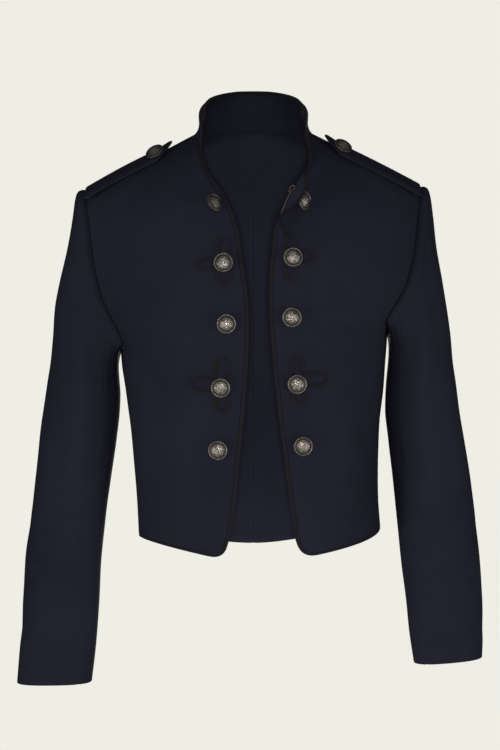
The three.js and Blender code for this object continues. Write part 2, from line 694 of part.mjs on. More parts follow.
// Trefoil of cord round a button, as offsets from its centre: sideways, upward
function frogPath() {
  const { loopRadius: r, upReach, outReach } = FROG;
  const { start, startHeight, cornerNear, cornerFar } = FROG_BENDS;
  const arc = (cx, cy, from, to) => Array.from({ length: FROG_BENDS.arc }, (_, n) => {
    const angle = (mix(from, to, n / (FROG_BENDS.arc - 1)) * Math.PI) / 180;
    return [cx + r * Math.cos(angle), cy + r * Math.sin(angle)];
  });
  const up = upReach - r;
  const out = outReach - r;
  const rise = up * FROG_BENDS.up;
  const side = out * FROG_BENDS.out;
  return [
    [r * start, startHeight], [r, r], [r, rise], ...arc(0, up, 0, 180), [-r, rise],
    [-r * cornerNear, r * cornerFar], [-r * cornerFar, r * cornerNear],
    [-side, r], ...arc(-out, 0, 90, 270), [-side, -r],
    [-r * cornerFar, -r * cornerNear], [-r * cornerNear, -r * cornerFar],
    [-r, -rise], ...arc(0, -up, 180, 360), [r, -rise], [r, -r], [r * start, -startHeight],
  ];
}

function frogStations(side, button) {
  const places = frogPath().map(([sideways, upward]) => (
    onFront(side, button.x - sideways, button.z + upward)
  ));
  return places.map(({ place, normal }, n) => {
    const before = places[Math.max(0, n - 1)].place;
    const after = places[Math.min(places.length - 1, n + 1)].place;
    const across = after.clone().sub(before).cross(normal).normalize();
    const centre = place.clone().addScaledVector(normal, SEAM + FROG.cordHeight / 2);
    return { centre, across, up: normal, width: FROG.cordWidth, height: FROG.cordHeight };
  });
}

const group = new THREE.Group();

function add(name, geometry, material) {
  const mesh = new THREE.Mesh(geometry, new THREE.MeshStandardMaterial(material));
  mesh.name = name;
  group.add(mesh);
  return mesh;
}

// Stands a button on a place, leaning by small angles in degrees
function addButton(name, { place, normal }, shank, lean = 0, turn = 0) {
  const mesh = add(name, buttonGeometry(shank), PEWTER);
  const degrees = Math.PI / 180;
  const tilt = Math.hypot(lean, turn) * degrees;
  const upright = new THREE.Quaternion().setFromUnitVectors(vector(0, 0, 1), normal);
  const leaning = new THREE.Quaternion().setFromEuler(new THREE.Euler(lean * degrees, 0, turn * degrees));
  mesh.quaternion.copy(leaning.multiply(upright));
  mesh.position.copy(place).addScaledVector(normal, SEAM + BUTTON_PROFILE[0].radius * Math.sin(tilt));
}

function addSide(side) {
  const { grid, neckRow } = frontGrid(side);
  add(`front_${side}`, clothWall(grid), CLOTH);
  add(`back_${side}`, clothWall(backGrid(side)), CLOTH);
  add(`sleeve_top_${side}`, clothWall(sleeveGrid(side, SLEEVE_SEAMS.aft - 360, SLEEVE_SEAMS.fore, 16)), CLOTH);
  add(`sleeve_under_${side}`, clothWall(sleeveGrid(side, SLEEVE_SEAMS.fore, SLEEVE_SEAMS.aft, 8)), CLOTH);
  add(`epaulette_${side}`, clothWall(strapGrid(side), STRAP.thickness), CLOTH);
  BUTTONS[side].forEach((button, n) => {
    const spot = onFront(side, button.x, button.z);
    addButton(`button_${side}_${n + 1}`, spot, SHANK.front, button.lean, button.turn);
    if (FROG_ROWS.includes(n)) {
      add(`frog_${side}_${n + 1}`, sweepGeometry(frogStations(side, button), FROG.sides), TRIM);
    }
  });
  const strapSpot = strapCell(side, STRAPS[side].button, STRAP.centreY, STRAP.thickness);
  addButton(`button_epaulette_${side}`, strapSpot, SHANK.strap);
  return frontBorder(grid, neckRow);
}

const rightBorder = addSide('right');
const leftBorder = addSide('left');
const collar = collarGrid();
add('collar', clothWall(collar), CLOTH);
const border = [...rightBorder, ...collarBorder(collar), ...leftBorder.toReversed()];
add('edge_piping', sweepGeometry(pipingStations(border), PIPING.sides), TRIM);

export default group;
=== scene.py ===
"""A cropped military jacket worn open with nobody in it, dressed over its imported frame.

The cloth follows the same short tables as the solids, in millimetres, and becomes metres only where
a mesh is made. The wearer faces -Y, and the wearer's right is -X.
"""
import logging
import math
from dataclasses import dataclass, field
from enum import Enum
from typing import Sequence

import bpy
import numpy as np
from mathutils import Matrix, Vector
from mathutils.bvhtree import BVHTree


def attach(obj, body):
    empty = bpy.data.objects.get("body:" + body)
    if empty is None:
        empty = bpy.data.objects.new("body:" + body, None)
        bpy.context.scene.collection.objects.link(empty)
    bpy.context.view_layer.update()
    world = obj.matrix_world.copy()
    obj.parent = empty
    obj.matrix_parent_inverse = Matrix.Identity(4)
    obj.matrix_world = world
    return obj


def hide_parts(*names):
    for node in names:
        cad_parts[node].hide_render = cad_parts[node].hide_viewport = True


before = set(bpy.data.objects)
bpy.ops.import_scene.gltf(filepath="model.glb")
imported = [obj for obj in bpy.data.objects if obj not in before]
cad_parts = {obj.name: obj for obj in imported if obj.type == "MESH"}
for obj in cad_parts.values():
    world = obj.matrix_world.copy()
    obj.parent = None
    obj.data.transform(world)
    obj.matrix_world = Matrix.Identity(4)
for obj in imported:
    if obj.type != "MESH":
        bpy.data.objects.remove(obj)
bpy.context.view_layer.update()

log = logging.getLogger("jacket")

Array = np.ndarray
Colour = tuple[float, float, float, float]
Faces = list[tuple[int, ...]]
Inputs = dict[str | int, object]
Socket = bpy.types.NodeSocket
Material = bpy.types.Material
Mesh = bpy.types.Mesh
Piece = bpy.types.Object

# Cloth and its borders. A sewn border reaches a little past the solid's, so that no light passes the seam.
MM = 0.001
WALL = 2.0
SEAM = 0.3
ROUND = WALL / 2
SEWN = ROUND - 0.12
THINNER = 0.3
STEP_WIDTH = 1.6

# The form of the body: the line between front and back, and where levels and the neck seam divide.
RIDGE_Y = 6.0
SQUARENESS = 2.5
ARMPIT = 0.56
NECK_BACK, NECK_FRONT = 0.7, 0.3

# Widths of the piping, and the roll of the wearer's left edge below the collar.
PIPING_WIDTH = 5.0
HEM_PIPING = 3.2
TURNED_PIPING = 2.6
TURN_WIDTH = 25.0
TURN_BEND = 10.0
TURN_ANGLE = 2.62
TURN_RISE = 0.2
TURN_LOW, TURN_PEAK, TURN_HIGH = -146.0, -84.0, -28.0


class Side(Enum):
    """A side of the wearer."""

    RIGHT = "right"
    LEFT = "left"

    @property
    def sign(self) -> int:
        """Direction of this side along X."""
        return -1 if self is Side.RIGHT else 1


class Facing(Enum):
    """Which way a body panel faces."""

    FRONT = "front"
    BACK = "back"


class Layer(Enum):
    """Material place of a cloth face."""

    OUTER = 0
    INNER = 1


class Track:
    """A smooth curve without overshoot through the rows of a short table."""

    def __init__(self, xs: Sequence[float], ys: Sequence[float]) -> None:
        """Works out the slopes of the curve.

        Args:
            xs: Rising places of the rows.
            ys: Values of the rows.
        """
        self.xs = np.asarray(xs, float)
        self.ys = np.asarray(ys, float)
        steps = np.diff(self.ys) / np.diff(self.xs)
        before, after = steps[:-1], steps[1:]
        same = before * after > 0
        middle = np.where(same, 2 * before * after / np.where(same, before + after, 1), 0)
        self.slopes = np.concatenate([steps[:1], middle, steps[-1:]])

    def __call__(self, at: Array | float) -> Array:
        """Values of the curve.

        Args:
            at: Places along the table.

        Returns:
            One value for each place, held level past the ends.
        """
        value = np.clip(at, self.xs[0], self.xs[-1])
        n = np.clip(np.searchsorted(self.xs, value) - 1, 0, len(self.xs) - 2)
        span = self.xs[n + 1] - self.xs[n]
        t = (value - self.xs[n]) / span
        left = self.ys[n] * (1 + 2 * t) * (1 - t) ** 2 + self.slopes[n] * span * t * (1 - t) ** 2
        return left + self.ys[n + 1] * t * t * (3 - 2 * t) - self.slopes[n + 1] * span * t * t * (1 - t)


def tracks(names: str, rows: Sequence[Sequence[float]]) -> dict[str, Track]:
    """Curves through the columns of a table.

    Args:
        names: Column names, the first of which is the place along the table.
        rows: The table.

    Returns:
        One curve for each other column.
    """
    columns = np.array(rows, float).T
    return {name: Track(columns[0], column) for name, column in zip(names.split()[1:], columns[1:])}


BODY = tracks("level right left foreMid aftMid halfRight halfLeft fore aft hemLeft aftRound", [
    (0.00, -484, -474, -512, -501, 137.5, 152.5, 98, 93, 0.55, 0.35),
    (0.10, -444, -438, -455, -452, 139.5, 150, 101, 91, 0.85, 0.35),
    (0.20, -400, -396, -404, -402, 142.5, 149.5, 105, 90, 1, 0.35),
    (0.30, -356, -352, -357, -356, 146.5, 151, 110, 91, 1, 0.35),
    (0.40, -318, -310, -314, -314, 151.5, 155, 113, 94, 1, 0.35),
    (0.50, -280, -268, -274, -275, 157.5, 158.5, 115, 97, 1, 0.35),
    (0.56, -260, -233, -248, -250, 160, 162, 116, 99, 1, 0.35),
    (0.60, -243, -219, -228, -224, 171, 173, 116, 99.5, 1, 0.35),
    (0.64, -225, -204, -206, -198, 182, 184, 115.5, 99, 1, 0.32),
    (0.69, -199, -182, -175, -163, 195, 196, 114, 97.5, 1, 0.28),
    (0.745, -167, -154, -139, -124, 203, 203, 110, 93, 1, 0.24),
    (0.81, -129, -121, -93, -76, 207.5, 207.5, 100, 84, 1, 0.2),
    (0.87, -97, -91, -46, -26, 209.5, 209, 83, 72, 1, 0.17),
    (0.91, -83, -78, -12, 6, 209, 208, 64, 61, 1, 0.15),
    (0.94, -76, -72, 11, 19, 207, 206, 43, 42, 1, 0.13),
    (0.97, -72, -68, 27, 29, 204, 203, 22, 22, 1, 0.08),
    (1.00, -70, -66, 34, 34, 201.5, 200, 0, 0, 1, 0),
])
ARMHOLE = tracks("along level fore aft", [
    (0, 0.56, 0, 0), (0.08, 0.561, 0.09, 0.09), (0.16, 0.565, 0.18, 0.17), (0.26, 0.578, 0.245, 0.225),
    (0.38, 0.61, 0.28, 0.245), (0.5, 0.66, 0.288, 0.245), (0.6, 0.715, 0.286, 0.24),
    (0.7, 0.78, 0.276, 0.232), (0.79, 0.84, 0.262, 0.222), (0.87, 0.895, 0.235, 0.208),
    (0.94, 0.948, 0.19, 0.17), (1, 1, 0, 0),
])
FRONT_EDGE = {
    Side.RIGHT: tracks("z x", [
        (-512, 44), (-504, 39), (-498, 33), (-486, 29), (-462, 23), (-431, 19.2), (-386, 15.2), (-341, 10.5),
        (-310, 8.3), (-278, 5.8), (-236, 4.7), (-212, 5), (-179, 9.1), (-147, 14.1), (-124, 17), (-105, 23),
        (-79, 35.5), (-65, 46), (-52, 53), (-39, 58), (-20, 61.5), (0, 63),
    ])["x"],
    Side.LEFT: tracks("z x", [
        (-510, 66), (-501, 60), (-493, 52.5), (-482, 48), (-462, 44.7), (-431, 40.2), (-386, 34.7),
        (-341, 28.3), (-319, 26.1), (-286, 22.2), (-253, 19.5), (-228, 17.9), (-193, 17.1), (-163, 18.8),
        (-135, 22.2), (-124, 25), (-107, 32.7), (-82, 42.5), (-71, 49), (-52, 59), (-38, 63), (-20, 64.5),
        (0, 65),
    ])["x"],
}
NECKLINE = {
    Facing.FRONT: tracks("along x level", [
        (0, 62, 0.932), (0.35, 66, 0.951), (0.7, 69.5, 0.975), (1, 71, 1),
    ]),
    Facing.BACK: tracks("along x level", [
        (0, 0, 0.91), (0.25, 25, 0.9175), (0.5, 46, 0.9325), (0.75, 62, 0.954), (1, 71, 1),
    ]),
}
COLLAR_TOP = tracks("along x y z", [
    (0, 0, 61, 53.2), (0.15, 17, 59, 52.7), (0.34, 38, 46, 48.7), (0.55, 53, 20, 41.3), (0.7, 57.7, 0, 35.5),
    (0.8, 58.8, -9, 32), (0.87, 59.6, -16, 28.5), (0.93, 60.6, -22.5, 23), (0.965, 61.6, -26.3, 15),
    (1, 62.6, -30.5, 4),
])
SLEEVE_NAMES = "station outX outZ inX inZ midY depth follow"
LAST_STATION = 17
SLEEVE = {
    Side.RIGHT: tracks(SLEEVE_NAMES, [(n, *row) for n, row in enumerate([
        (201.5, -70, 160, -260, 4, 50, 1), (208, -71, 160.9, -261.5, 4, 52, 0.97),
        (213.5, -80, 161.4, -263.5, 4, 54, 0.85), (217.5, -105, 161.8, -266.5, 4, 56, 0.65),
        (223.5, -141, 162, -270.5, 4.5, 57.5, 0.45), (232, -178, 162, -276, 5, 58.5, 0.28),
        (238.5, -213, 161.9, -283, 6, 59, 0.14), (241.5, -249, 161.4, -292, 7, 59, 0.05),
        (244, -275, 160.6, -302, 8, 59, 0), (248, -300, 160, -314, 8, 58.5, 0),
        (252.6, -334, 161, -334, 8, 57.5, 0), (257.4, -370, 165, -370, 8, 55, 0),
        (262, -417, 171.6, -417, 5, 51.5, 0), (267.3, -465, 177.5, -465, 0, 48, 0),
        (272.4, -512, 182, -512, -7, 44.5, 0), (274, -558, 184, -558, -14, 41, 0),
        (276.8, -604, 187, -604, -20, 38, 0), (280.6, -656, 192, -655, -26, 35, 0),
    ])]),
    Side.LEFT: tracks(SLEEVE_NAMES, [(n, *row) for n, row in enumerate([
        (200, -66, 162, -233, 4, 50, 1), (206, -67, 162.6, -235, 4, 52, 0.97),
        (211.5, -78, 163, -238, 4, 54, 0.85), (215.5, -104, 163.2, -242, 4, 56, 0.65),
        (219.5, -141, 163.2, -247.5, 4.5, 57.5, 0.45), (226, -178, 163, -255, 5, 58.5, 0.28),
        (232, -213, 162.6, -265, 6, 59, 0.14), (237, -249, 161.6, -278, 7, 59, 0.05),
        (239.5, -274, 160.4, -292, 8, 59, 0), (243, -299, 159.4, -308, 8, 58.5, 0),
        (247.8, -334, 158.8, -334, 8, 57.5, 0), (253.8, -370, 162.6, -370, 8, 55, 0),
        (260.8, -417, 167.4, -417, 5, 51.5, 0), (266.2, -465, 171.8, -465, 0, 48, 0),
        (270.2, -512, 176.4, -512, -7, 44.5, 0), (272, -555, 181.6, -555, -14, 41, 0),
        (272.6, -595, 185.2, -595, -19, 38, 0), (271, -626, 190.4, -633, -24, 35.5, 0),
    ])]),
}
SLEEVE_TURN = tracks("turn along", [
    (0, 1), (20, 0.955), (45, 0.87), (70, 0.76), (90, 0.66), (110, 0.53), (130, 0.38), (145, 0.27),
    (160, 0.16), (180, 0),
])["along"]
# Distance from the middle, height, lean forward and turn outward in degrees.
BUTTONS = {
    Side.RIGHT: [(47.8, -95, -8, 48), (34.5, -163, 0, 0), (30.9, -233, 0, 0), (37.4, -305.5, 7, 0),
                 (40.6, -377.7, 0, 0)],
    Side.LEFT: [(55, -91, 22, 46), (45, -157, 0, 0), (43.4, -225.5, 0, 0), (49.7, -301.5, 6, -4),
                (56.1, -373, 0, 0)],
}


def blend(start: Array | float, end: Array | float, share: Array | float) -> Array | float:
    """Value a share of the way from start to end."""
    return start + (end - start) * share


def eased(value: Array | float) -> Array:
    """Soft step from 0 to 1 over the same range."""
    t = np.clip(value, 0, 1)
    return t * t * (3 - 2 * t)


def unit(vectors: Array) -> Array:
    """The same directions with length 1."""
    return vectors / np.maximum(np.linalg.norm(vectors, axis=-1, keepdims=True), 1e-9)


def lengths_along(points: Array) -> Array:
    """Distance travelled at each point of a line."""
    return np.concatenate([[0], np.cumsum(np.linalg.norm(np.diff(points, axis=0), axis=-1))])


def evened(points: Array, step: float) -> Array:
    """A line drawn again with even steps.

    Args:
        points: Rows whose first three values are places.
        step: Distance between the new rows.

    Returns:
        The new rows, with their other values carried along.
    """
    travelled = lengths_along(points[:, :3])
    marks = np.linspace(0, travelled[-1], max(2, round(travelled[-1] / step) + 1))
    return np.stack([np.interp(marks, travelled, column) for column in points.T], axis=1)


def softened(values: Array, reach: float) -> Array:
    """Rows averaged with their neighbours, with the two ends kept.

    Args:
        values: Rows of numbers.
        reach: Spread of the average, in rows.

    Returns:
        The smoother rows.
    """
    half = int(3 * reach)
    weights = np.exp(-0.5 * (np.arange(-half, half + 1) / reach) ** 2)
    padded = np.pad(values, ((half, half), (0, 0)), mode="reflect", reflect_type="odd")
    return np.stack([np.convolve(column, weights / weights.sum(), "valid") for column in padded.T], axis=1)


def turned_share(z: Array) -> Array:
    """How far the wearer's left edge is turned back at a height, from 0 to 1."""
    reach = np.where(z < TURN_PEAK, TURN_PEAK - TURN_LOW, TURN_HIGH - TURN_PEAK)
    return eased(1 - np.abs(z - TURN_PEAK) / reach)


def edge_piping_width(side: Side, z: Array) -> Array:
    """Width of the piping at a height of a front edge, flattened where the edge is turned back.

    Args:
        side: Which front.
        z: Heights.

    Returns:
        Widths in millimetres.
    """
    if side is Side.RIGHT:
        return PIPING_WIDTH + 0 * z
    return blend(PIPING_WIDTH, TURNED_PIPING, eased(2 * turned_share(z)))


def turn_reach(share: Array) -> Array:
    """How much nearer to the middle an edge would lie if it weren't turned back.

    Args:
        share: How far the edge is turned back, from 0 to 1.

    Returns:
        Distances in millimetres.
    """
    bent = np.maximum(TURN_ANGLE * share, 1e-6)
    radius = TURN_BEND / bent
    straight = (TURN_WIDTH - TURN_BEND) * np.cos(bent)
    extent = np.where(bent < math.pi / 2, radius * np.sin(bent) + straight, radius)
    return np.where(share > 0, TURN_WIDTH - extent, 0)


@dataclass(frozen=True)
class PanelCut:
    """Rows of a body panel: side seam, armhole, and how many of those pass the neckline."""

    side_rows: int
    arm_rows: int
    neck_rows: int
    neck_level: float

    @property
    def neck_row(self) -> int:
        """Row where the neckline starts."""
        return self.side_rows + self.arm_rows - self.neck_rows


CUTS = {Facing.FRONT: PanelCut(11, 14, 2, 0.932), Facing.BACK: PanelCut(9, 14, 5, 0.91)}


@dataclass(frozen=True)
class BodyForm:
    """One side of the hollow body."""

    side: Side

    def half(self, level: Array) -> Array:
        """Half of the body's width."""
        return BODY["halfRight" if self.side is Side.RIGHT else "halfLeft"](level)

    def point(self, turn: Array | float, level: Array | float) -> Array:
        """Places on the body.

        Args:
            turn: 1 at the centre front, 0 at the side, -1 at the centre back.
            level: 0 at the hem, 1 at the shoulder seam, and past it down the other face.

        Returns:
            Places in millimetres.
        """
        turn, level = np.broadcast_arrays(np.asarray(turn, float), np.asarray(level, float))
        over = level > 1
        turn = np.where(over, -turn, turn)
        level = np.where(over, 2 - level, level)
        is_right = self.side is Side.RIGHT
        side_z = BODY["right" if is_right else "left"](level)
        power = 1.0 if is_right else BODY["hemLeft"](level)
        angle = np.abs(turn) * math.pi / 2
        across = np.sign(np.cos(angle)) * np.abs(np.cos(angle)) ** (2 / SQUARENESS)
        out = np.abs(np.sin(angle)) ** (2 / SQUARENESS)
        is_fore = turn >= 0
        mid_z = np.where(is_fore, BODY["foreMid"](level), BODY["aftMid"](level))
        depth = np.where(is_fore, -BODY["fore"](level), BODY["aft"](level))
        amount = BODY["aftRound"](level)
        soft = (np.hypot(across, amount) - amount) / (np.hypot(1, amount) - amount)
        share = np.where(is_fore, np.clip(1 - across, 0, None) ** power, 1 - soft)
        x = self.side.sign * self.half(level) * across
        return np.stack([x, RIDGE_Y + depth * out, side_z + (mid_z - side_z) * share], axis=-1)

    def normal(self, turn: Array, level: Array) -> Array:
        """Outward directions of the body at the same places.

        Args:
            turn: 1 at the centre front, 0 at the side, -1 at the centre back.
            level: 0 at the hem, 1 at the shoulder seam.

        Returns:
            Directions of length 1.
        """
        step = 0.004
        across = self.point(turn + step, level) - self.point(turn - step, level)
        rise = self.point(turn, level + step) - self.point(turn, np.maximum(0, level - step))
        return unit(np.cross(across, rise) * -self.side.sign)

    def turn_at(self, x: Array | float, level: Array) -> Array:
        """Turn that gives a distance x from the middle on one level."""
        share = np.clip(x / self.half(level), 0, 1)
        return np.arccos(share ** (SQUARENESS / 2)) * 2 / math.pi

    def edge_x(self, level: Array) -> Array:
        """Distance of the opened-out front edge from the middle on each level.

        Args:
            level: 0 at the hem, 1 at the shoulder seam.

        Returns:
            Distances in millimetres.
        """
        x = np.full_like(level, 30.0)
        for _ in range(24):
            z = self.point(self.turn_at(x, level), level)[..., 2]
            back = turn_reach(turned_share(z)) if self.side is Side.LEFT else 0
            x = blend(x, FRONT_EDGE[self.side](z) - back, 0.7)
        return np.maximum(x, 0)

    def on_front(self, x: float, z: float) -> tuple[Array, Array]:
        """Place and outward direction on a front.

        Args:
            x: Distance from the middle.
            z: Height.

        Returns:
            The place and the direction.
        """
        low, high = 0.0, 1.0
        for _ in range(30):
            level = np.array((low + high) / 2)
            if self.point(self.turn_at(x, level), level)[2] < z:
                low = float(level)
            else:
                high = float(level)
        turn = self.turn_at(x, level)
        return self.point(turn, level), self.normal(turn, level)

    def row_ends(self, facing: Facing, row: Array) -> tuple[Array, Array, Array, Array]:
        """Where each row of a panel starts and ends.

        Args:
            facing: Front or back panel.
            row: Row numbers, which may be fractions.

        Returns:
            Turn and level at the side or armhole, then turn and level at the edge or neckline.
        """
        cut = CUTS[facing]
        is_front = facing is Facing.FRONT
        lower = row <= cut.side_rows
        along = np.clip((row - cut.side_rows) / cut.arm_rows, 0, 1)
        low_level = ARMPIT * np.minimum(row, cut.side_rows) / cut.side_rows
        start_turn = np.where(lower, 0, ARMHOLE["fore" if is_front else "aft"](along))
        start_level = np.where(lower, low_level, ARMHOLE["level"](along))
        neck_along = 1 - cut.neck_rows / cut.arm_rows
        edge_level = blend(ARMPIT, cut.neck_level, np.clip(along / neck_along, 0, 1))
        edge_level = np.where(lower, low_level, edge_level)
        edge = self.edge_x(edge_level) if is_front else np.zeros_like(edge_level)
        share = np.clip((along - neck_along) / (1 - neck_along), 0, 1)
        at_neck = along > neck_along
        end_level = np.where(at_neck, NECKLINE[facing]["level"](share), edge_level)
        end_x = np.where(at_neck, NECKLINE[facing]["x"](share), edge)
        return start_turn, start_level, self.turn_at(end_x, end_level), end_level

    def neck(self, along: Array) -> Array:
        """Neck seam from centre back (0) to the front end (1).

        Args:
            along: Shares of the seam from the centre back.

        Returns:
            Places in millimetres.
        """
        is_back = along <= NECK_BACK
        share = np.where(is_back, along / NECK_BACK, 1 - (along - NECK_BACK) / NECK_FRONT)
        back, front = NECKLINE[Facing.BACK], NECKLINE[Facing.FRONT]
        level = np.where(is_back, back["level"](share), front["level"](share))
        x = np.where(is_back, back["x"](share), front["x"](share))
        turn = self.turn_at(x, level)
        return self.point(np.where(is_back, -turn, turn), level)


@dataclass(frozen=True)
class Fold:
    """One soft trough or ridge, given on a piece's own chart in millimetres.

    Its lip is a lower wave of the other sign beside it, as pushed cloth has.
    """

    path: tuple[tuple[float, float], ...]
    width: float
    height: float
    lip: float = 0.4

    def lift(self, chart: Array) -> Array:
        """How far the fold lifts the cloth.

        Args:
            chart: Places on the piece's chart, two values each.

        Returns:
            One lift for each place, in millimetres.
        """
        points = np.array(self.path, float)
        if len(points) > 2:
            marks = np.linspace(0, len(points) - 1, 13)
            knots = np.arange(len(points))
            points = softened(np.stack([np.interp(marks, knots, points[:, n]) for n in (0, 1)], 1), 1.2)
        nearest = np.full(chart.shape[:-1], 1e9)
        signed = np.zeros(chart.shape[:-1])
        progress = np.zeros(chart.shape[:-1])
        for n in range(len(points) - 1):
            run = points[n + 1] - points[n]
            rest = chart - points[n]
            t = np.clip(rest @ run / (run @ run), 0, 1)
            offset = rest - t[..., None] * run
            distance = np.linalg.norm(offset, axis=-1)
            closer = distance < nearest
            side = np.sign(run[0] * rest[..., 1] - run[1] * rest[..., 0])
            nearest = np.where(closer, distance, nearest)
            signed = np.where(closer, side * distance, signed)
            progress = np.where(closer, (n + t) / (len(points) - 1), progress)
        taper = eased(np.minimum(progress, 1 - progress) / 0.3)
        wave = np.exp(-(nearest / self.width) ** 2)
        lip = np.exp(-((signed - 1.5 * self.width) / self.width) ** 2)
        return self.height * (wave * (0.12 + 0.88 * taper) - self.lip * lip * taper)


@dataclass
class Unevenness:
    """Low waves of worn cloth by place in space, so that they run on over a seam."""

    seed: int = 7
    waves: int = 16
    height: float = 0.42
    shortest: float = 34.0
    longest: float = 130.0
    numbers: Array = field(init=False)

    def __post_init__(self) -> None:
        """Draws the waves once."""
        random = np.random.default_rng(self.seed)
        direction = unit(random.normal(size=(self.waves, 3)))
        length = random.uniform(self.shortest, self.longest, self.waves)
        phase = random.uniform(0, 6.28, self.waves)
        pitch = (2 * math.pi / length)[:, None]
        self.numbers = np.column_stack([direction * pitch, phase, length / self.longest])

    def __call__(self, place: Array) -> Array:
        """Lift of the cloth at each place, in millimetres."""
        phase = place @ self.numbers[:, :3].T + self.numbers[:, 3]
        return self.height * (np.sin(phase) * self.numbers[:, 4]).sum(axis=-1) / math.sqrt(self.waves)


UNEVEN = Unevenness()


@dataclass
class Surface:
    """An even grid of places on cloth, with values that travel along."""

    place: Array
    extra: Array
    core: Array

    def drawn_again(self, marks: Sequence[Array], along_rows: bool) -> "Surface":
        """The grid with new places along each of its lines.

        Args:
            marks: For each line, distances from its start.
            along_rows: True for lines across the piece, False for lines up it.

        Returns:
            The new grid.
        """
        values = np.concatenate([self.place, self.extra, self.core], axis=-1)
        if not along_rows:
            values = values.transpose(1, 0, 2)
        lines = []
        for line, mark in zip(values, marks):
            travelled = lengths_along(line[:, :3])
            lines.append(np.stack([np.interp(mark, travelled, column) for column in line.T], axis=1))
        result = np.array(lines)
        if not along_rows:
            result = result.transpose(1, 0, 2)
        width = self.extra.shape[-1]
        return Surface(result[..., :3], result[..., 3:3 + width], result[..., 3 + width:])

    def widths(self) -> Array:
        """Length of each line across the piece."""
        return np.array([lengths_along(line)[-1] for line in self.place])

    def heights(self) -> Array:
        """Length of each line up the piece."""
        return np.array([lengths_along(line)[-1] for line in self.place.transpose(1, 0, 2)])

    def area(self) -> float:
        """Area of the cloth in square millimetres."""
        across = np.diff(self.place, axis=1)[:-1]
        rise = np.diff(self.place, axis=0)[:, :-1]
        return float(np.linalg.norm(np.cross(across, rise), axis=-1).sum())

    def normals(self) -> Array:
        """Outward directions, away from the core."""
        normal = unit(np.cross(np.gradient(self.place, axis=1), np.gradient(self.place, axis=0)))
        return normal * self.handedness(normal)

    def handedness(self, normal: Array) -> float:
        """1 if these directions point away from the core, or else -1."""
        return float(np.sign((normal * (self.place - self.core)).sum(axis=-1).mean()))

    def lifted(self, amount: Array) -> "Surface":
        """The grid moved outward by an amount at each place."""
        return Surface(self.place + self.normals() * amount[..., None], self.extra, self.core)

    def border_distance(self) -> Array:
        """Distances to the start, end, bottom and top of the grid, as four layers.

        Returns:
            The four layers, in millimetres.
        """
        across = np.stack([lengths_along(line) for line in self.place])
        rise = np.stack([lengths_along(line) for line in self.place.transpose(1, 0, 2)], axis=1)
        return np.stack([across, across[:, -1:] - across, rise, rise[-1:] - rise])


def trimmed(surface: Surface, rows: int, columns: int, cuts: Sequence[Array | float],
            edge_band: tuple[float, int] = (0.0, 0)) -> Surface:
    """Cuts a panel back from its outline and draws it with even rows and columns.

    Args:
        surface: The uncut grid.
        rows: Rows of the new grid.
        columns: Columns of the new grid.
        cuts: Distances to cut at the start, end, bottom and top.
        edge_band: Width of a band at the end that gets closer columns, and their number.

    Returns:
        The new grid.
    """
    start, end, bottom, top = cuts
    widths = surface.widths()
    starts = np.broadcast_to(start, widths.shape)
    ends = widths - np.broadcast_to(end, widths.shape)
    band, extra = edge_band
    marks = []
    for first, last in zip(starts, ends):
        wide = np.linspace(first, last - band, columns - extra)
        marks.append(np.concatenate([wide, np.linspace(last - band, last, extra + 1)[1:]]))
    surface = surface.drawn_again(marks, True)
    heights = surface.heights()
    return surface.drawn_again([np.linspace(bottom, height - top, rows) for height in heights], False)


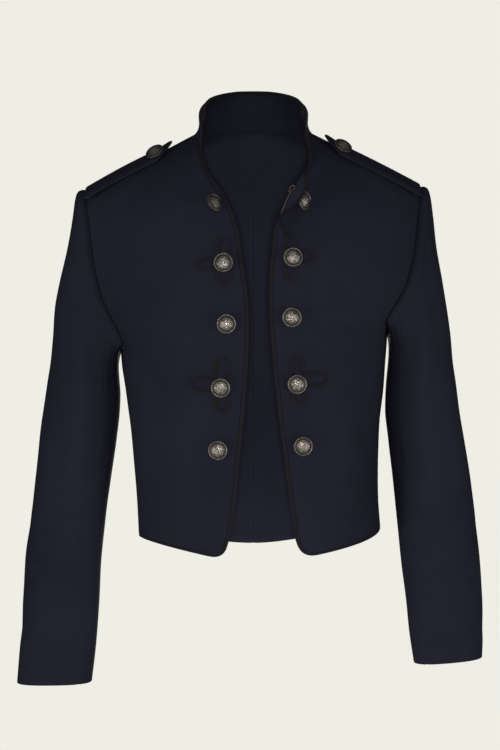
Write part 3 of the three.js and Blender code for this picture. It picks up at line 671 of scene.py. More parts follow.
@dataclass
class NodeSheet:
    """Short calls for one material's nodes."""

    name: str
    material: Material = field(init=False)

    def __post_init__(self) -> None:
        """Starts a material with its shader."""
        self.material = bpy.data.materials.new(self.name)
        self.material.use_nodes = True
        self.tree = self.material.node_tree
        self.shader = self.tree.nodes["Principled BSDF"]
        self.coordinates = self.tree.nodes.new("ShaderNodeTexCoord")

    def add(self, kind: str, inputs: Inputs | None = None, **settings: object) -> bpy.types.Node:
        """A node with its settings, and its inputs set or joined.

        Args:
            kind: Blender's name for the kind of node.
            inputs: Values or output sockets by input name or number.
            **settings: Attributes of the node.

        Returns:
            The new node.
        """
        node = self.tree.nodes.new(kind)
        for key, value in settings.items():
            setattr(node, key, value)
        for key, value in (inputs or {}).items():
            self.feed(node.inputs[key], value)
        return node

    def feed(self, socket: Socket, value: object) -> None:
        """Sets an input to a value, or joins it to an output.

        Args:
            socket: The input.
            value: A value or an output.
        """
        if isinstance(value, Socket):
            self.tree.links.new(value, socket)
        else:
            socket.default_value = value

    def shade(self, name: str, value: object) -> None:
        """Sets or joins an input of the shader."""
        self.feed(self.shader.inputs[name], value)

    def noise(self, source: Socket, scale: float, detail: float = 2.0) -> Socket:
        """Cloudy numbers from 0 to 1."""
        return self.add("ShaderNodeTexNoise", {"Vector": source, "Scale": scale, "Detail": detail}).outputs[0]

    def wave(self, source: Socket, scale: float, distortion: float, bands: str,
             more: dict[str, float] | None = None) -> Socket:
        """Even threads from 0 to 1 in one direction.

        Args:
            source: Where the pattern is laid.
            scale: How close the threads lie.
            distortion: How far they wander.
            bands: Blender's name for their direction.
            more: Other inputs of the node.

        Returns:
            The pattern.
        """
        inputs = {"Vector": source, "Scale": scale, "Distortion": distortion, **(more or {})}
        return self.add("ShaderNodeTexWave", inputs, bands_direction=bands).outputs["Fac"]

    def attribute(self, name: str) -> Socket:
        """Numbers that the mesh carries."""
        return self.add("ShaderNodeAttribute", attribute_name=name).outputs["Fac"]

    def spread(self, value: Socket, low: float, high: float, start: float = 0.0, end: float = 1.0) -> Socket:
        """Numbers between low and high stretched to the range from start to end."""
        inputs = {"Value": value, "From Min": low, "From Max": high, "To Min": start, "To Max": end}
        return self.add("ShaderNodeMapRange", inputs).outputs[0]

    def sum(self, kind: str, first: object, second: object) -> Socket:
        """Arithmetic on two numbers."""
        return self.add("ShaderNodeMath", {0: first, 1: second}, operation=kind).outputs[0]

    def mix(self, factor: object, below: object, above: object) -> Socket:
        """One colour laid over another."""
        return self.add("ShaderNodeMix", {0: factor, 6: below, 7: above}, data_type="RGBA").outputs[2]

    def bump(self, height: Socket, depth: float, below: Socket | None = None) -> Socket:
        """Surface direction from a height, over another one if given."""
        inputs = {"Height": height, "Distance": depth} | ({} if below is None else {"Normal": below})
        return self.add("ShaderNodeBump", inputs).outputs[0]


def tone(red: float, green: float, blue: float) -> Colour:
    """A colour with full cover."""
    return (red, green, blue, 1.0)


@dataclass(frozen=True)
class TwillWool:
    """Dark navy wool twill: fine slanting ribs, a slight nap, and near the seams a lighter colour that is
    partly rubbed wear and partly painted pressing sheen.
    """

    name: str = "navy_wool"
    deep: Colour = tone(0.0112, 0.0113, 0.0198)
    light: Colour = tone(0.0160, 0.0161, 0.0272)
    lighter_nap_and_sheen: Colour = tone(0.023, 0.023, 0.036)
    roughness: tuple[float, float] = (0.8, 0.96)
    rib_scale: float = 0.36
    rib_depth: float = 0.00022
    specular: float = 0.04
    # How much lighter the seams are painted, partly rubbed wear and partly painted sheen.
    seam_wear_and_sheen: float = 0.3
    cloud_scale: float = 9.0
    nap_scale: float = 1500.0
    slub_scale: float = 420.0
    slub_depth: float = 0.00018

    def material(self) -> Material:
        """Builds the finish.

        Returns:
            The material.
        """
        sheet = NodeSheet(self.name)
        place = sheet.coordinates.outputs["Object"]
        weave = sheet.coordinates.outputs["UV"]
        clouds = sheet.spread(sheet.noise(place, self.cloud_scale, 3.0), 0.3, 0.7)
        nap = sheet.noise(place, self.nap_scale, 1.0)
        ribs = sheet.wave(weave, self.rib_scale, 0.6, "DIAGONAL", {"Detail": 1.0, "Detail Scale": 3.0})
        base = sheet.mix(clouds, self.deep, self.light)
        base = sheet.mix(sheet.spread(nap, 0.35, 0.8, 0.0, 0.35), base, self.lighter_nap_and_sheen)
        base = sheet.mix(sheet.spread(ribs, 0.0, 1.0, 0.35, 0.0), base, self.deep)
        # Near the seams the colour is painted lighter: partly rubbed wear, partly a painted pressing sheen.
        patches = sheet.spread(sheet.noise(place, 60.0), 0.3, 0.7, 0.3 * self.seam_wear_and_sheen, self.seam_wear_and_sheen)
        wear_and_sheen = sheet.sum("MULTIPLY", sheet.attribute("seam"), patches)
        base = sheet.mix(wear_and_sheen, base, self.lighter_nap_and_sheen)
        sheet.shade("Base Color", base)
        sheet.shade("Roughness", sheet.spread(nap, 0.3, 0.7, *self.roughness))
        slubs = sheet.bump(sheet.noise(place, self.slub_scale, 3.0), self.slub_depth)
        sheet.shade("Normal", sheet.bump(ribs, self.rib_depth, slubs))
        sheet.shade("Specular IOR Level", self.specular)
        return sheet.material


@dataclass(frozen=True)
class SilkyBraid:
    """Black piping and flat braid with slanting threads and a faint warm cast."""

    name: str = "black_braid"
    deep: Colour = tone(0.0045, 0.0044, 0.0064)
    light: Colour = tone(0.0142, 0.0141, 0.0212)
    # Near-black colour for the painted shade in the braid's grooves and along its edges.
    hollow: Colour = tone(0.0016, 0.0016, 0.0024)
    thread_scale: float = 0.42
    cross_scale: float = 0.3
    thread_depth: float = 0.0002
    specular: float = 0.14
    sheen: float = 0.02
    sheen_roughness: float = 0.4

    def material(self) -> Material:
        """Builds the finish.

        Returns:
            The material.
        """
        sheet = NodeSheet(self.name)
        weave = sheet.coordinates.outputs["UV"]
        place = sheet.coordinates.outputs["Object"]
        threads = sheet.wave(weave, self.thread_scale, 0.3, "DIAGONAL")
        cross = sheet.wave(weave, self.cross_scale, 0.2, "X")
        lay = sheet.sum("MULTIPLY", threads, sheet.spread(cross, 0, 1, 0.5, 1.0))
        base = sheet.mix(sheet.spread(lay, 0.0, 1.0, 0.1, 0.9), self.deep, self.light)
        base = sheet.mix(sheet.spread(sheet.noise(place, 45.0), 0.35, 0.7, 0.0, 0.4), base, self.deep)
        # Grooves and side edges of the braid get a near-black painted shade.
        base = sheet.mix(sheet.spread(sheet.attribute("hollow"), 0.14, 0.5), base, self.hollow)
        sheet.shade("Base Color", base)
        sheet.shade("Roughness", sheet.spread(threads, 0, 1, 0.8, 0.6))
        sheet.shade("Normal", sheet.bump(lay, self.thread_depth))
        sheet.shade("Specular IOR Level", self.specular)
        sheet.shade("Sheen Weight", self.sheen)
        sheet.shade("Sheen Roughness", self.sheen_roughness)
        return sheet.material


@dataclass(frozen=True)
class OldPewter:
    """Antiqued pewter: dark in the hollows, rubbed bright on the high places."""

    name: str = "old_pewter"
    dark: Colour = tone(0.028, 0.024, 0.020)
    mid: Colour = tone(0.21, 0.188, 0.165)
    bright: Colour = tone(0.40, 0.37, 0.33)
    grime_scale: float = 700.0
    dent_scale: float = 900.0
    dent_depth: float = 0.00008

    def material(self) -> Material:
        """Builds the finish.

        Returns:
            The material.
        """
        sheet = NodeSheet(self.name)
        place = sheet.coordinates.outputs["Object"]
        high = sheet.attribute("high")
        grime = sheet.noise(place, self.grime_scale, 3.0)
        worn = sheet.sum("ADD", high, sheet.spread(grime, 0.3, 0.7, -0.22, 0.22))
        base = sheet.mix(sheet.spread(worn, 0.12, 0.6), self.dark, self.mid)
        base = sheet.mix(sheet.spread(worn, 0.62, 0.98), base, self.bright)
        sheet.shade("Base Color", base)
        sheet.shade("Roughness", sheet.spread(worn, 0.1, 0.9, 0.6, 0.34))
        sheet.shade("Metallic", sheet.spread(worn, 0.0, 0.35, 0.6, 1.0))
        dents = sheet.bump(sheet.noise(place, self.dent_scale, 2.0), self.dent_depth)
        sheet.shade("Normal", dents)
        return sheet.material


@dataclass(frozen=True)
class SpunThread:
    """Sewing thread with its twist."""

    name: str
    colour: Colour
    shade: float = 0.45
    twist_scale: float = 700.0
    twist_depth: float = 0.0001

    def material(self) -> Material:
        """Builds the finish.

        Returns:
            The material.
        """
        sheet = NodeSheet(self.name)
        place = sheet.coordinates.outputs["Object"]
        twist = sheet.wave(place, self.twist_scale, 1.0, "DIAGONAL")
        dark = tone(*(self.shade * part for part in self.colour[:3]))
        base = sheet.mix(sheet.spread(twist, 0, 1, 0.2, 1), dark, self.colour)
        sheet.shade("Base Color", base)
        sheet.shade("Roughness", sheet.spread(twist, 0, 1, 0.8, 0.55))
        sheet.shade("Normal", sheet.bump(twist, self.twist_depth))
        return sheet.material


@dataclass(frozen=True)
class PaleFloor:
    """Plain matt floor that thins out towards its rim."""

    name: str = "pale_floor"
    low: Colour = tone(0.80, 0.795, 0.74)
    high: Colour = tone(0.83, 0.825, 0.77)
    glow: Colour = tone(0.86, 0.853, 0.785)
    glow_strength: float = 0.5
    full_to: float = 0.3
    gone_at: float = 1.05
    roughness: float = 0.9

    def material(self) -> Material:
        """Builds the finish.

        Returns:
            The material.
        """
        sheet = NodeSheet(self.name)
        place = sheet.coordinates.outputs["Object"]
        far = sheet.add("ShaderNodeVectorMath", {0: place}, operation="LENGTH").outputs["Value"]
        grain = sheet.noise(place, 40.0, 2.0)
        sheet.shade("Base Color", sheet.mix(grain, self.low, self.high))
        sheet.shade("Alpha", sheet.spread(far, self.full_to, self.gone_at, 1.0, 0.0))
        sheet.shade("Emission Color", self.glow)
        sheet.shade("Emission Strength", self.glow_strength)
        sheet.shade("Roughness", self.roughness)
        return sheet.material


@dataclass
class Wardrobe:
    """Every finish of the jacket, made once."""

    cloth: Material = field(default_factory=lambda: TwillWool().material())
    # The inner face is the same wool painted lighter, to offset the shade inside the jacket.
    inside: Material = field(default_factory=lambda: TwillWool(
        name="navy_wool_inside", deep=tone(0.0165, 0.0166, 0.0285), light=tone(0.0215, 0.0216, 0.0365),
        lighter_nap_and_sheen=tone(0.027, 0.027, 0.043), roughness=(0.76, 0.94), rib_scale=0.3, rib_depth=0.00015,
        specular=0.05,
    ).material())
    braid: Material = field(default_factory=lambda: SilkyBraid().material())
    pewter: Material = field(default_factory=lambda: OldPewter().material())
    dark_thread: Material = field(
        default_factory=lambda: SpunThread("navy_thread", tone(0.022, 0.022, 0.033)).material())
    tan_thread: Material = field(
        default_factory=lambda: SpunThread("tan_thread", tone(0.13, 0.095, 0.062)).material())


def place_piece(name: str, mesh: Mesh, materials: Sequence[Material], slot: str,
                *nodes: str) -> Piece:
    """Puts a finished mesh into the scene as a piece of the jacket.

    Args:
        name: Name of the piece.
        mesh: Its mesh, in metres in the frame.
        materials: Finishes in the order of the faces' material numbers.
        slot: Material slot of the record; not used.
        *nodes: Solids that the piece stands for.

    Returns:
        The piece.
    """
    piece = bpy.data.objects.new(name, mesh)
    bpy.context.scene.collection.objects.link(piece)
    for material in materials:
        mesh.materials.append(material)
    mesh.polygons.foreach_set("use_smooth", [True] * len(mesh.polygons))
    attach(piece, "root")
    if nodes:
        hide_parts(*nodes)
    log.info("%s: %d faces", name, len(mesh.polygons))
    return piece


def mesh_from(name: str, points: Array, faces: Faces, weave: Array | None = None,
              marks: dict[str, Array] | None = None) -> Mesh:
    """Makes a mesh from places in millimetres.

    Args:
        name: Name of the mesh.
        points: Places.
        faces: Corner numbers of each face.
        weave: Chart of the thread directions in millimetres, one pair for each place.
        marks: Numbers for each place, by attribute name.

    Returns:
        The mesh, in metres.
    """
    mesh = bpy.data.meshes.new(name)
    mesh.from_pydata((points * MM).tolist(), [], faces)
    if weave is not None:
        corners = np.empty(len(mesh.loops), int)
        mesh.loops.foreach_get("vertex_index", corners)
        layer = mesh.uv_layers.new(name="weave")
        layer.data.foreach_set("uv", weave[corners].astype(np.float32).ravel())
    for key, values in (marks or {}).items():
        attribute = mesh.attributes.new(key, "FLOAT", "POINT")
        attribute.data.foreach_set("value", np.asarray(values, np.float32))
    mesh.update()
    return mesh


@dataclass
class ClothShell:
    """A cut piece of cloth with its thickness, rounded edges, outer and inner face."""

    name: str
    surface: Surface
    thickness: Array | float = WALL
    sewn: tuple[bool, bool, bool, bool] = (True, True, True, True)
    inner_step: Array | float = 0.0
    held: str = "draped"
    self_faced: bool = False
    wear_and_sheen_reach: float = 2.2
    unsewn: float = 40.0

    def border(self) -> list[tuple[int, int]]:
        """Row and column of each place round the outline."""
        rows, columns = self.surface.place.shape[:2]
        return (
            [(0, c) for c in range(columns)] + [(r, columns - 1) for r in range(1, rows)]
            + [(rows - 1, c) for c in range(columns - 2, -1, -1)] + [(r, 0) for r in range(rows - 2, 0, -1)]
        )

    def away(self, r: int, c: int, normal: Array) -> Array:
        """Direction off the cloth at a place of its outline.

        Args:
            r: Row of the place.
            c: Its column.
            normal: Direction off its face.

        Returns:
            A direction of length 1 along the cloth.
        """
        place = self.surface.place
        rows, columns = place.shape[:2]
        pull = np.zeros(3)
        if r in (0, rows - 1):
            pull = pull + unit(place[r, c] - place[1 if r == 0 else rows - 2, c])
        if c in (0, columns - 1):
            pull = pull + unit(place[r, c] - place[r, 1 if c == 0 else columns - 2])
        return unit(pull - normal * (pull @ normal))

    def mesh(self) -> Mesh:
        """Builds both faces and the rounded outline.

        Returns:
            The closed shell.
        """
        place = self.surface.place
        rows, columns = place.shape[:2]
        normal = self.surface.normals()
        thickness = np.broadcast_to(self.thickness, (rows, columns))
        inner = place - normal * (thickness + self.inner_step)[..., None]
        border = self.border()
        rings = []
        for degrees in (45, 90, 135):
            bend = math.radians(degrees)
            ring = []
            for r, c in border:
                half = thickness[r, c] / 2
                direction = normal[r, c] * math.cos(bend) + self.away(r, c, normal[r, c]) * math.sin(bend)
                ring.append(place[r, c] - normal[r, c] * half + direction * half)
            rings.append(np.array(ring))
        points = np.concatenate([place.reshape(-1, 3), inner.reshape(-1, 3), *rings])
        faces, layers = self.faces(rows, columns, border)
        distance = self.surface.border_distance()
        # Mark that lightens the colour near sewn borders, partly rubbed wear and partly painted sheen.
        sewn = np.where(np.array(self.sewn)[:, None, None], distance, self.unsewn).min(axis=0)
        near = np.exp(-sewn / self.wear_and_sheen_reach)
        chart = np.stack([distance[0], distance[2]], axis=-1)
        edge = np.array([chart[r, c] for r, c in border])
        edge_near = np.array([near[r, c] for r, c in border])
        weave = np.concatenate([chart.reshape(-1, 2), chart.reshape(-1, 2) + 0.4, edge, edge, edge])
        marks = {"seam": np.concatenate([near.ravel(), near.ravel(), edge_near, edge_near, edge_near])}
        mesh = mesh_from(self.name, points, faces, weave, marks)
        mesh.polygons.foreach_set("material_index", layers)
        return mesh

    def faces(self, rows: int, columns: int, border: list[tuple[int, int]]) -> tuple[Faces, list[int]]:
        """Corner numbers and material of each face.

        Args:
            rows: Rows of the grid.
            columns: Columns of the grid.
            border: Row and column of each place round the outline.

        Returns:
            The faces and their material numbers.
        """
        count = rows * columns
        start = (np.arange(rows - 1)[:, None] * columns + np.arange(columns - 1)).ravel()
        outer = np.stack([start, start + 1, start + 1 + columns, start + columns], axis=1)
        inner = outer[:, ::-1] + count
        around = np.array([r * columns + c for r, c in border])
        size = len(around)
        loops = [around] + [2 * count + n * size + np.arange(size) for n in range(3)] + [around + count]
        sides = []
        for first, second in zip(loops, loops[1:]):
            sides.append(np.stack([np.roll(first, -1), first, second, np.roll(second, -1)], axis=1))
        rim = np.concatenate(sides)
        faces = np.concatenate([outer, inner, rim])
        raw = unit(np.cross(np.gradient(self.surface.place, axis=1), np.gradient(self.surface.place, axis=0)))
        if self.surface.handedness(raw) < 0:
            faces = faces[:, ::-1]
        sizes = ((Layer.OUTER, len(outer)), (Layer.INNER, len(inner)), (Layer.OUTER, len(rim)))
        layers = [layer.value for layer, size in sizes for _ in range(size)]
        return [tuple(face) for face in faces.tolist()], layers

    def piece(self, wardrobe: Wardrobe, *with_pieces: Piece) -> Piece:
        """Makes the piece, which stands for the solid of the same name.

        Args:
            wardrobe: The finishes.
            *with_pieces: Pieces that lie on this cloth; not used.

        Returns:
            The piece.
        """
        inner = wardrobe.cloth if self.self_faced else wardrobe.inside
        made = place_piece(f"{self.name}_cloth", self.mesh(), [wardrobe.cloth, inner], "cloth", self.name)
        width = float(self.surface.widths().max()) * MM
        length = float(self.surface.heights().max()) * MM
        area = min(self.surface.area() * MM * MM, width * length)
        log.info("%s: cut %.0f by %.0f mm, %.4f square metres", self.name, width / MM, length / MM, area)
        return made


FRONT_FOLDS = {
    Side.RIGHT: (
        Fold(((116, -58), (142, -80), (170, -108)), 10, -1.9),
        Fold(((128, -104), (150, -124), (168, -150)), 13, -1.2),
        Fold(((124, -230), (119, -340), (114, -478)), 17, -1.9),
        Fold(((94, -262), (90, -380), (90, -496)), 20, 1.5, 0.1),
        Fold(((64, -330), (61, -420), (56, -505)), 13, -1.1),
        Fold(((152, -262), (128, -286), (102, -300)), 8, -1.5),
        Fold(((140, -318), (118, -330), (92, -332)), 8, -0.9),
        Fold(((60, -96), (84, -112), (110, -150)), 14, -0.9),
    ),
    Side.LEFT: (
        Fold(((108, -54), (136, -74), (162, -98)), 10, -1.6),
        Fold(((134, -250), (138, -350), (142, -455)), 15, -1.9),
        Fold(((112, -280), (112, -380), (118, -486)), 19, 1.6, 0.1),
        Fold(((86, -320), (84, -410), (88, -500)), 14, -1.3),
        Fold(((152, -240), (130, -264), (104, -280)), 8, -1.5),
        Fold(((144, -300), (122, -312), (98, -314)), 8, -0.9),
        Fold(((66, -124), (84, -112), (104, -92)), 9, -1.4),
        Fold(((70, -150), (90, -170), (112, -206)), 15, -0.8),
    ),
}
BACK_FOLDS = (
    Fold(((150, -252), (120, -264), (80, -266)), 9, -1.6),
    Fold(((146, -290), (118, -306), (78, -310)), 10, -1.4),
    Fold(((56, -300), (50, -400), (48, -498)), 17, 1.6, 0.2),
    Fold(((98, -300), (100, -400), (104, -486)), 16, -1.8),
    Fold(((38, -70), (58, -130), (68, -196)), 20, 1.2, 0.2),
    Fold(((158, -92), (104, -78), (48, -72)), 9, -1.4),
    Fold(((160, -130), (120, -150), (96, -200)), 12, -1.1),
)
SLEEVE_FOLDS = (
    Fold(((6, -470), (30, -488), (62, -510)), 8, -2.7),
    Fold(((18, -522), (42, -530), (66, -524)), 8, -1.8),
    Fold(((92, -206), (96, -330), (94, -486)), 16, 3.8, 0.0),
    Fold(((64, -535), (84, -552), (98, -580)), 10, -0.8),
    Fold(((158, -388), (130, -404), (100, -402)), 9, -2.1),
    Fold(((160, -428), (130, -446), (98, -448), (76, -438)), 10, -2.0),
    Fold(((156, -470), (134, -488), (108, -492)), 9, -1.5),
    Fold(((252, -378), (226, -400), (196, -402)), 9, -2.0),
    Fold(((256, -420), (230, -440), (200, -438)), 10, -1.8),
    Fold(((62, -96), (68, -140), (74, -200)), 13, -1.5),
    Fold(((98, -190), (104, -250), (108, -330)), 15, -1.6),
    Fold(((24, -110), (30, -180), (34, -250)), 17, 1.2, 0.2),
    Fold(((-44, -96), (-50, -150), (-54, -214)), 13, -1.5),
    Fold(((-78, -462), (-46, -486), (-14, -496)), 10, -1.5),
    Fold(((-84, -300), (-60, -330), (-40, -372)), 12, -1.2),
    Fold(((-30, -560), (0, -580), (20, -610)), 12, -0.9),
    Fold(((40, -330), (46, -400), (52, -452)), 16, 1.0, 0.2),
)


def folds_lift(folds: Sequence[Fold], chart: Array) -> Array:
    """Sum of the lifts of several folds."""
    return sum((fold.lift(chart) for fold in folds), np.zeros(chart.shape[:-1]))


@dataclass
class BodyPanel:
    """A front or back of the body, from the hem to the shoulder seam."""

    side: Side
    facing: Facing
    wardrobe: Wardrobe
    rows: int = 204
    columns: int = 62
    edge_band: float = 14.5
    edge_columns: int = 13
    facing_width: float = 58.0
    facing_thickness: float = 0.45
    hem_band: float = 12.0
    hem_thickness: float = 0.55
    centre_seam: float = 0.45
    calm: float = 22.0
    pucker_length: float = 11.0
    pucker_height: float = 0.16
    pucker_reach: float = 6.0
    draft: tuple[int, int] = (420, 160)
    surface: Surface = field(init=False)

    def __post_init__(self) -> None:
        """Lays the cloth out with its folds and edges."""
        self.form = BodyForm(self.side)
        self.name = f"{self.facing.value}_{self.side.value}"
        surface = self.laid_out()
        chart = surface.extra[..., :2]
        is_front = self.facing is Facing.FRONT
        folds = FRONT_FOLDS[self.side] if is_front else BACK_FOLDS
        distance = surface.border_distance()
        sewn = np.minimum(distance[0], distance[3])
        if not is_front:
            sewn = np.minimum(sewn, distance[1])
        lift = folds_lift(folds, chart) * eased(sewn / self.calm) + UNEVEN(surface.place)
        lift = lift + self.eased_seam(distance)
        surface = surface.lifted(lift)
        self.surface = self.turned_back(surface) if is_front and self.side is Side.LEFT else surface

    def laid_out(self) -> Surface:
        """The plain form of the panel, cut back from its outline.

        Returns:
            The grid, with distance from the middle, height and row as its chart.
        """
        cut = CUTS[self.facing]
        row = np.linspace(0, cut.side_rows + cut.arm_rows, self.draft[0])
        start_turn, start_level, end_turn, end_level = self.form.row_ends(self.facing, row)
        share = np.linspace(0, 1, self.draft[1])
        sign = 1 if self.facing is Facing.FRONT else -1
        turn = sign * blend(start_turn[:, None], end_turn[:, None], share)
        level = blend(start_level[:, None], end_level[:, None], share)
        place = self.form.point(turn, level)
        rows = np.broadcast_to(row[:, None], turn.shape)
        chart = np.stack([np.abs(place[..., 0]), place[..., 2], rows], axis=-1)
        core = place * (0, 0, 1) + (0, RIDGE_Y, 0)
        whole = Surface(place, chart, core)
        if self.facing is Facing.BACK:
            return trimmed(whole, self.rows, self.columns, (SEWN, ROUND - self.centre_seam, ROUND, SEWN))
        piped = edge_piping_width(self.side, place[:, -1, 2]) + SEAM + ROUND
        end = blend(piped, SEWN, eased((row - cut.neck_row) / 0.5))
        band = (self.edge_band, self.edge_columns)
        return trimmed(whole, self.rows, self.columns + self.edge_columns,
                       (SEWN, end, HEM_PIPING + SEAM + ROUND, SEWN), band)

    def eased_seam(self, distance: Array) -> Array:
        """Slight fullness of the cloth beside its side and armhole seams."""
        waves = np.sin(distance[2] * 2 * math.pi / self.pucker_length + 1.3 * np.sin(distance[2] / 17))
        return self.pucker_height * waves * np.exp(-distance[0] / self.pucker_reach) * eased(distance[0] / 3)

    def turned_back(self, surface: Surface) -> Surface:
        """Rolls the edge outward below the collar.

        Args:
            surface: The front before its edge is turned.

        Returns:
            The front with its roll.
        """
        normal = surface.normals()
        place = surface.place.copy()
        for r, line in enumerate(surface.place):
            travelled = lengths_along(line)
            share = float(turned_share(line[-1, 2]))
            if share == 0:
                continue
            width = float(edge_piping_width(self.side, line[-1, 2]))
            first = travelled[-1] - (TURN_WIDTH - width - SEAM - ROUND)
            fold = np.array([np.interp(first, travelled, line[:, n]) for n in range(3)])
            rise = unit(np.array([np.interp(first, travelled, normal[r, :, n]) for n in range(3)]))
            outward = unit(line[-1] - fold)
            outward = unit(outward - rise * (outward @ rise))
            bent = TURN_ANGLE * share
            radius = TURN_BEND / bent
            for c in np.nonzero(travelled > first)[0]:
                distance = travelled[c] - first
                angle = min(1.0, distance / TURN_BEND) * bent
                straight = max(0.0, distance - TURN_BEND)
                along = radius * math.sin(angle) + straight * math.cos(angle)
                over = radius * (1 - math.cos(angle)) + straight * math.sin(angle)
                place[r, c] = fold + outward * along + rise * over
                place[r, c, 2] += (line[c, 2] - fold[2]) * share * TURN_RISE
        return Surface(place, surface.extra, surface.core)

    def inner_step(self) -> Array:
        """Where a hem or facing makes the inner face thicker.

        Returns:
            Extra thickness of each place.
        """
        distance = self.surface.border_distance()
        if self.facing is Facing.BACK:
            return self.hem_thickness * (1 - eased((distance[2] - self.hem_band) / STEP_WIDTH)) - THINNER
        return self.facing_thickness * (1 - eased((distance[1] - self.facing_width) / STEP_WIDTH)) - THINNER

    def build(self) -> Piece:
        """Makes the piece.

        Returns:
            The piece.
        """
        sewn = (True, False, False, True) if self.facing is Facing.FRONT else (True, True, False, True)
        shell = ClothShell(self.name, self.surface, WALL, sewn, self.inner_step(), "hung")
        return shell.piece(self.wardrobe)

    def piped_border(self) -> Array:
        """Outline that carries piping, from the side along the hem and up the edge.

        Returns:
            Place, outward direction and piping width of each row.
        """
        place, normal = self.surface.place, self.surface.normals()
        row = self.surface.extra[:, -1, 2]
        columns = place.shape[1]
        hem = [(0, c, HEM_PIPING) for c in range(columns - 3)]
        piped = edge_piping_width(self.side, place[:, -1, 2])
        last_row = CUTS[Facing.FRONT].neck_row - 0.1
        edge = [(r, columns - 1, piped[r]) for r in range(2, place.shape[0]) if row[r] <= last_row]
        return np.array([[*place[r, c], *normal[r, c], width] for r, c, width in hem + edge])

    def fold_line(self, low: float, high: float) -> tuple[Array, Array]:
        """The line nearest to the middle along the turned edge, on the inner face that shows there.

        Args:
            low: Height where it starts.
            high: Height where it ends.

        Returns:
            Places and directions off that face.
        """
        normal = self.surface.normals()
        places, ways = [], []
        for line, directions in zip(self.surface.place, normal):
            c = int(np.argmin(np.abs(line[:, 0])))
            if low < line[c, 2] < high:
                places.append(line[c] - directions[c] * (WALL + 0.15))
                ways.append(-directions[c])
        return np.array(places), np.array(ways)

    def inside_line(self, distance: float, margin: float = 3.0) -> tuple[Array, Array]:
        """A line on the inner face along the hem.

        Args:
            distance: Height over the hem.
            margin: What stays free at both ends.

        Returns:
            Places and directions off the inner face.
        """
        normal = self.surface.normals()
        rise = self.surface.border_distance()[2]
        step = self.inner_step()
        places, ways = [], []
        for c in range(1, self.surface.place.shape[1] - 1):
            r = int(np.searchsorted(rise[:, c], distance))
            places.append(self.surface.place[r, c] - normal[r, c] * (WALL + step[r, c] + 0.05))
            ways.append(-normal[r, c])
        keep = lengths_along(np.array(places))
        inside = (keep > margin) & (keep < keep[-1] - margin)
        return np.array(places)[inside], np.array(ways)[inside]


@dataclass(frozen=True)
class SleeveForm:
    """The tube of one sleeve, set into its armhole."""

    side: Side
    raise_head: float = 0.6
    flatness: float = 2.5
    flat_from: float = 9.0
    flat_over: float = 7.0

    def armhole(self, degrees: Array) -> Array:
        """Armhole seam: 0 degrees at the shoulder, 90 at the front, 180 at the armpit.

        Args:
            degrees: Places round the seam.

        Returns:
            Places in millimetres.
        """
        is_front = degrees <= 180
        along = SLEEVE_TURN(np.where(is_front, degrees, 360 - degrees))
        turn = np.where(is_front, ARMHOLE["fore"](along), -ARMHOLE["aft"](along))
        form = BodyForm(self.side)
        level = ARMHOLE["level"](along)
        return form.point(turn, level) + form.normal(turn, level) * self.raise_head

    def oval(self, station: Array, degrees: Array) -> Array:
        """Section of the sleeve, flatter towards the cuff.

        Args:
            station: Rows of the sleeve's table.
            degrees: Places round the sleeve.

        Returns:
            Places in millimetres.
        """
        row = SLEEVE[self.side]
        angle = np.radians(degrees)
        power = 2 / blend(2.0, self.flatness, eased((station - self.flat_from) / self.flat_over))
        cos = np.sign(np.cos(angle)) * np.abs(np.cos(angle)) ** power
        sin = np.sign(np.sin(angle)) * np.abs(np.sin(angle)) ** power
        out_x, in_x, out_z, in_z = (row[name](station) for name in ("outX", "inX", "outZ", "inZ"))
        return np.stack([
            self.side.sign * ((out_x + in_x) / 2 + (out_x - in_x) / 2 * cos),
            row["midY"](station) - row["depth"](station) * sin,
            (out_z + in_z) / 2 + (out_z - in_z) / 2 * cos,
        ], axis=-1)

    def point(self, station: Array, degrees: Array) -> Array:
        """Places on the sleeve.

        Args:
            station: Rows of the sleeve's table.
            degrees: Places round the sleeve.

        Returns:
            Places in millimetres.
        """
        station, degrees = np.broadcast_arrays(station, degrees)
        turned = np.mod(degrees, 360)
        rest = self.armhole(turned) - self.oval(np.zeros_like(station), turned)
        return self.oval(station, turned) + rest * SLEEVE[self.side]["follow"](station)[..., None]

    def core(self, station: Array) -> Array:
        """Middle of the tube at each station."""
        angles = np.arange(0, 360, 30.0)
        return self.point(station[:, None] + 0 * angles, angles + 0 * station[:, None]).mean(axis=1)


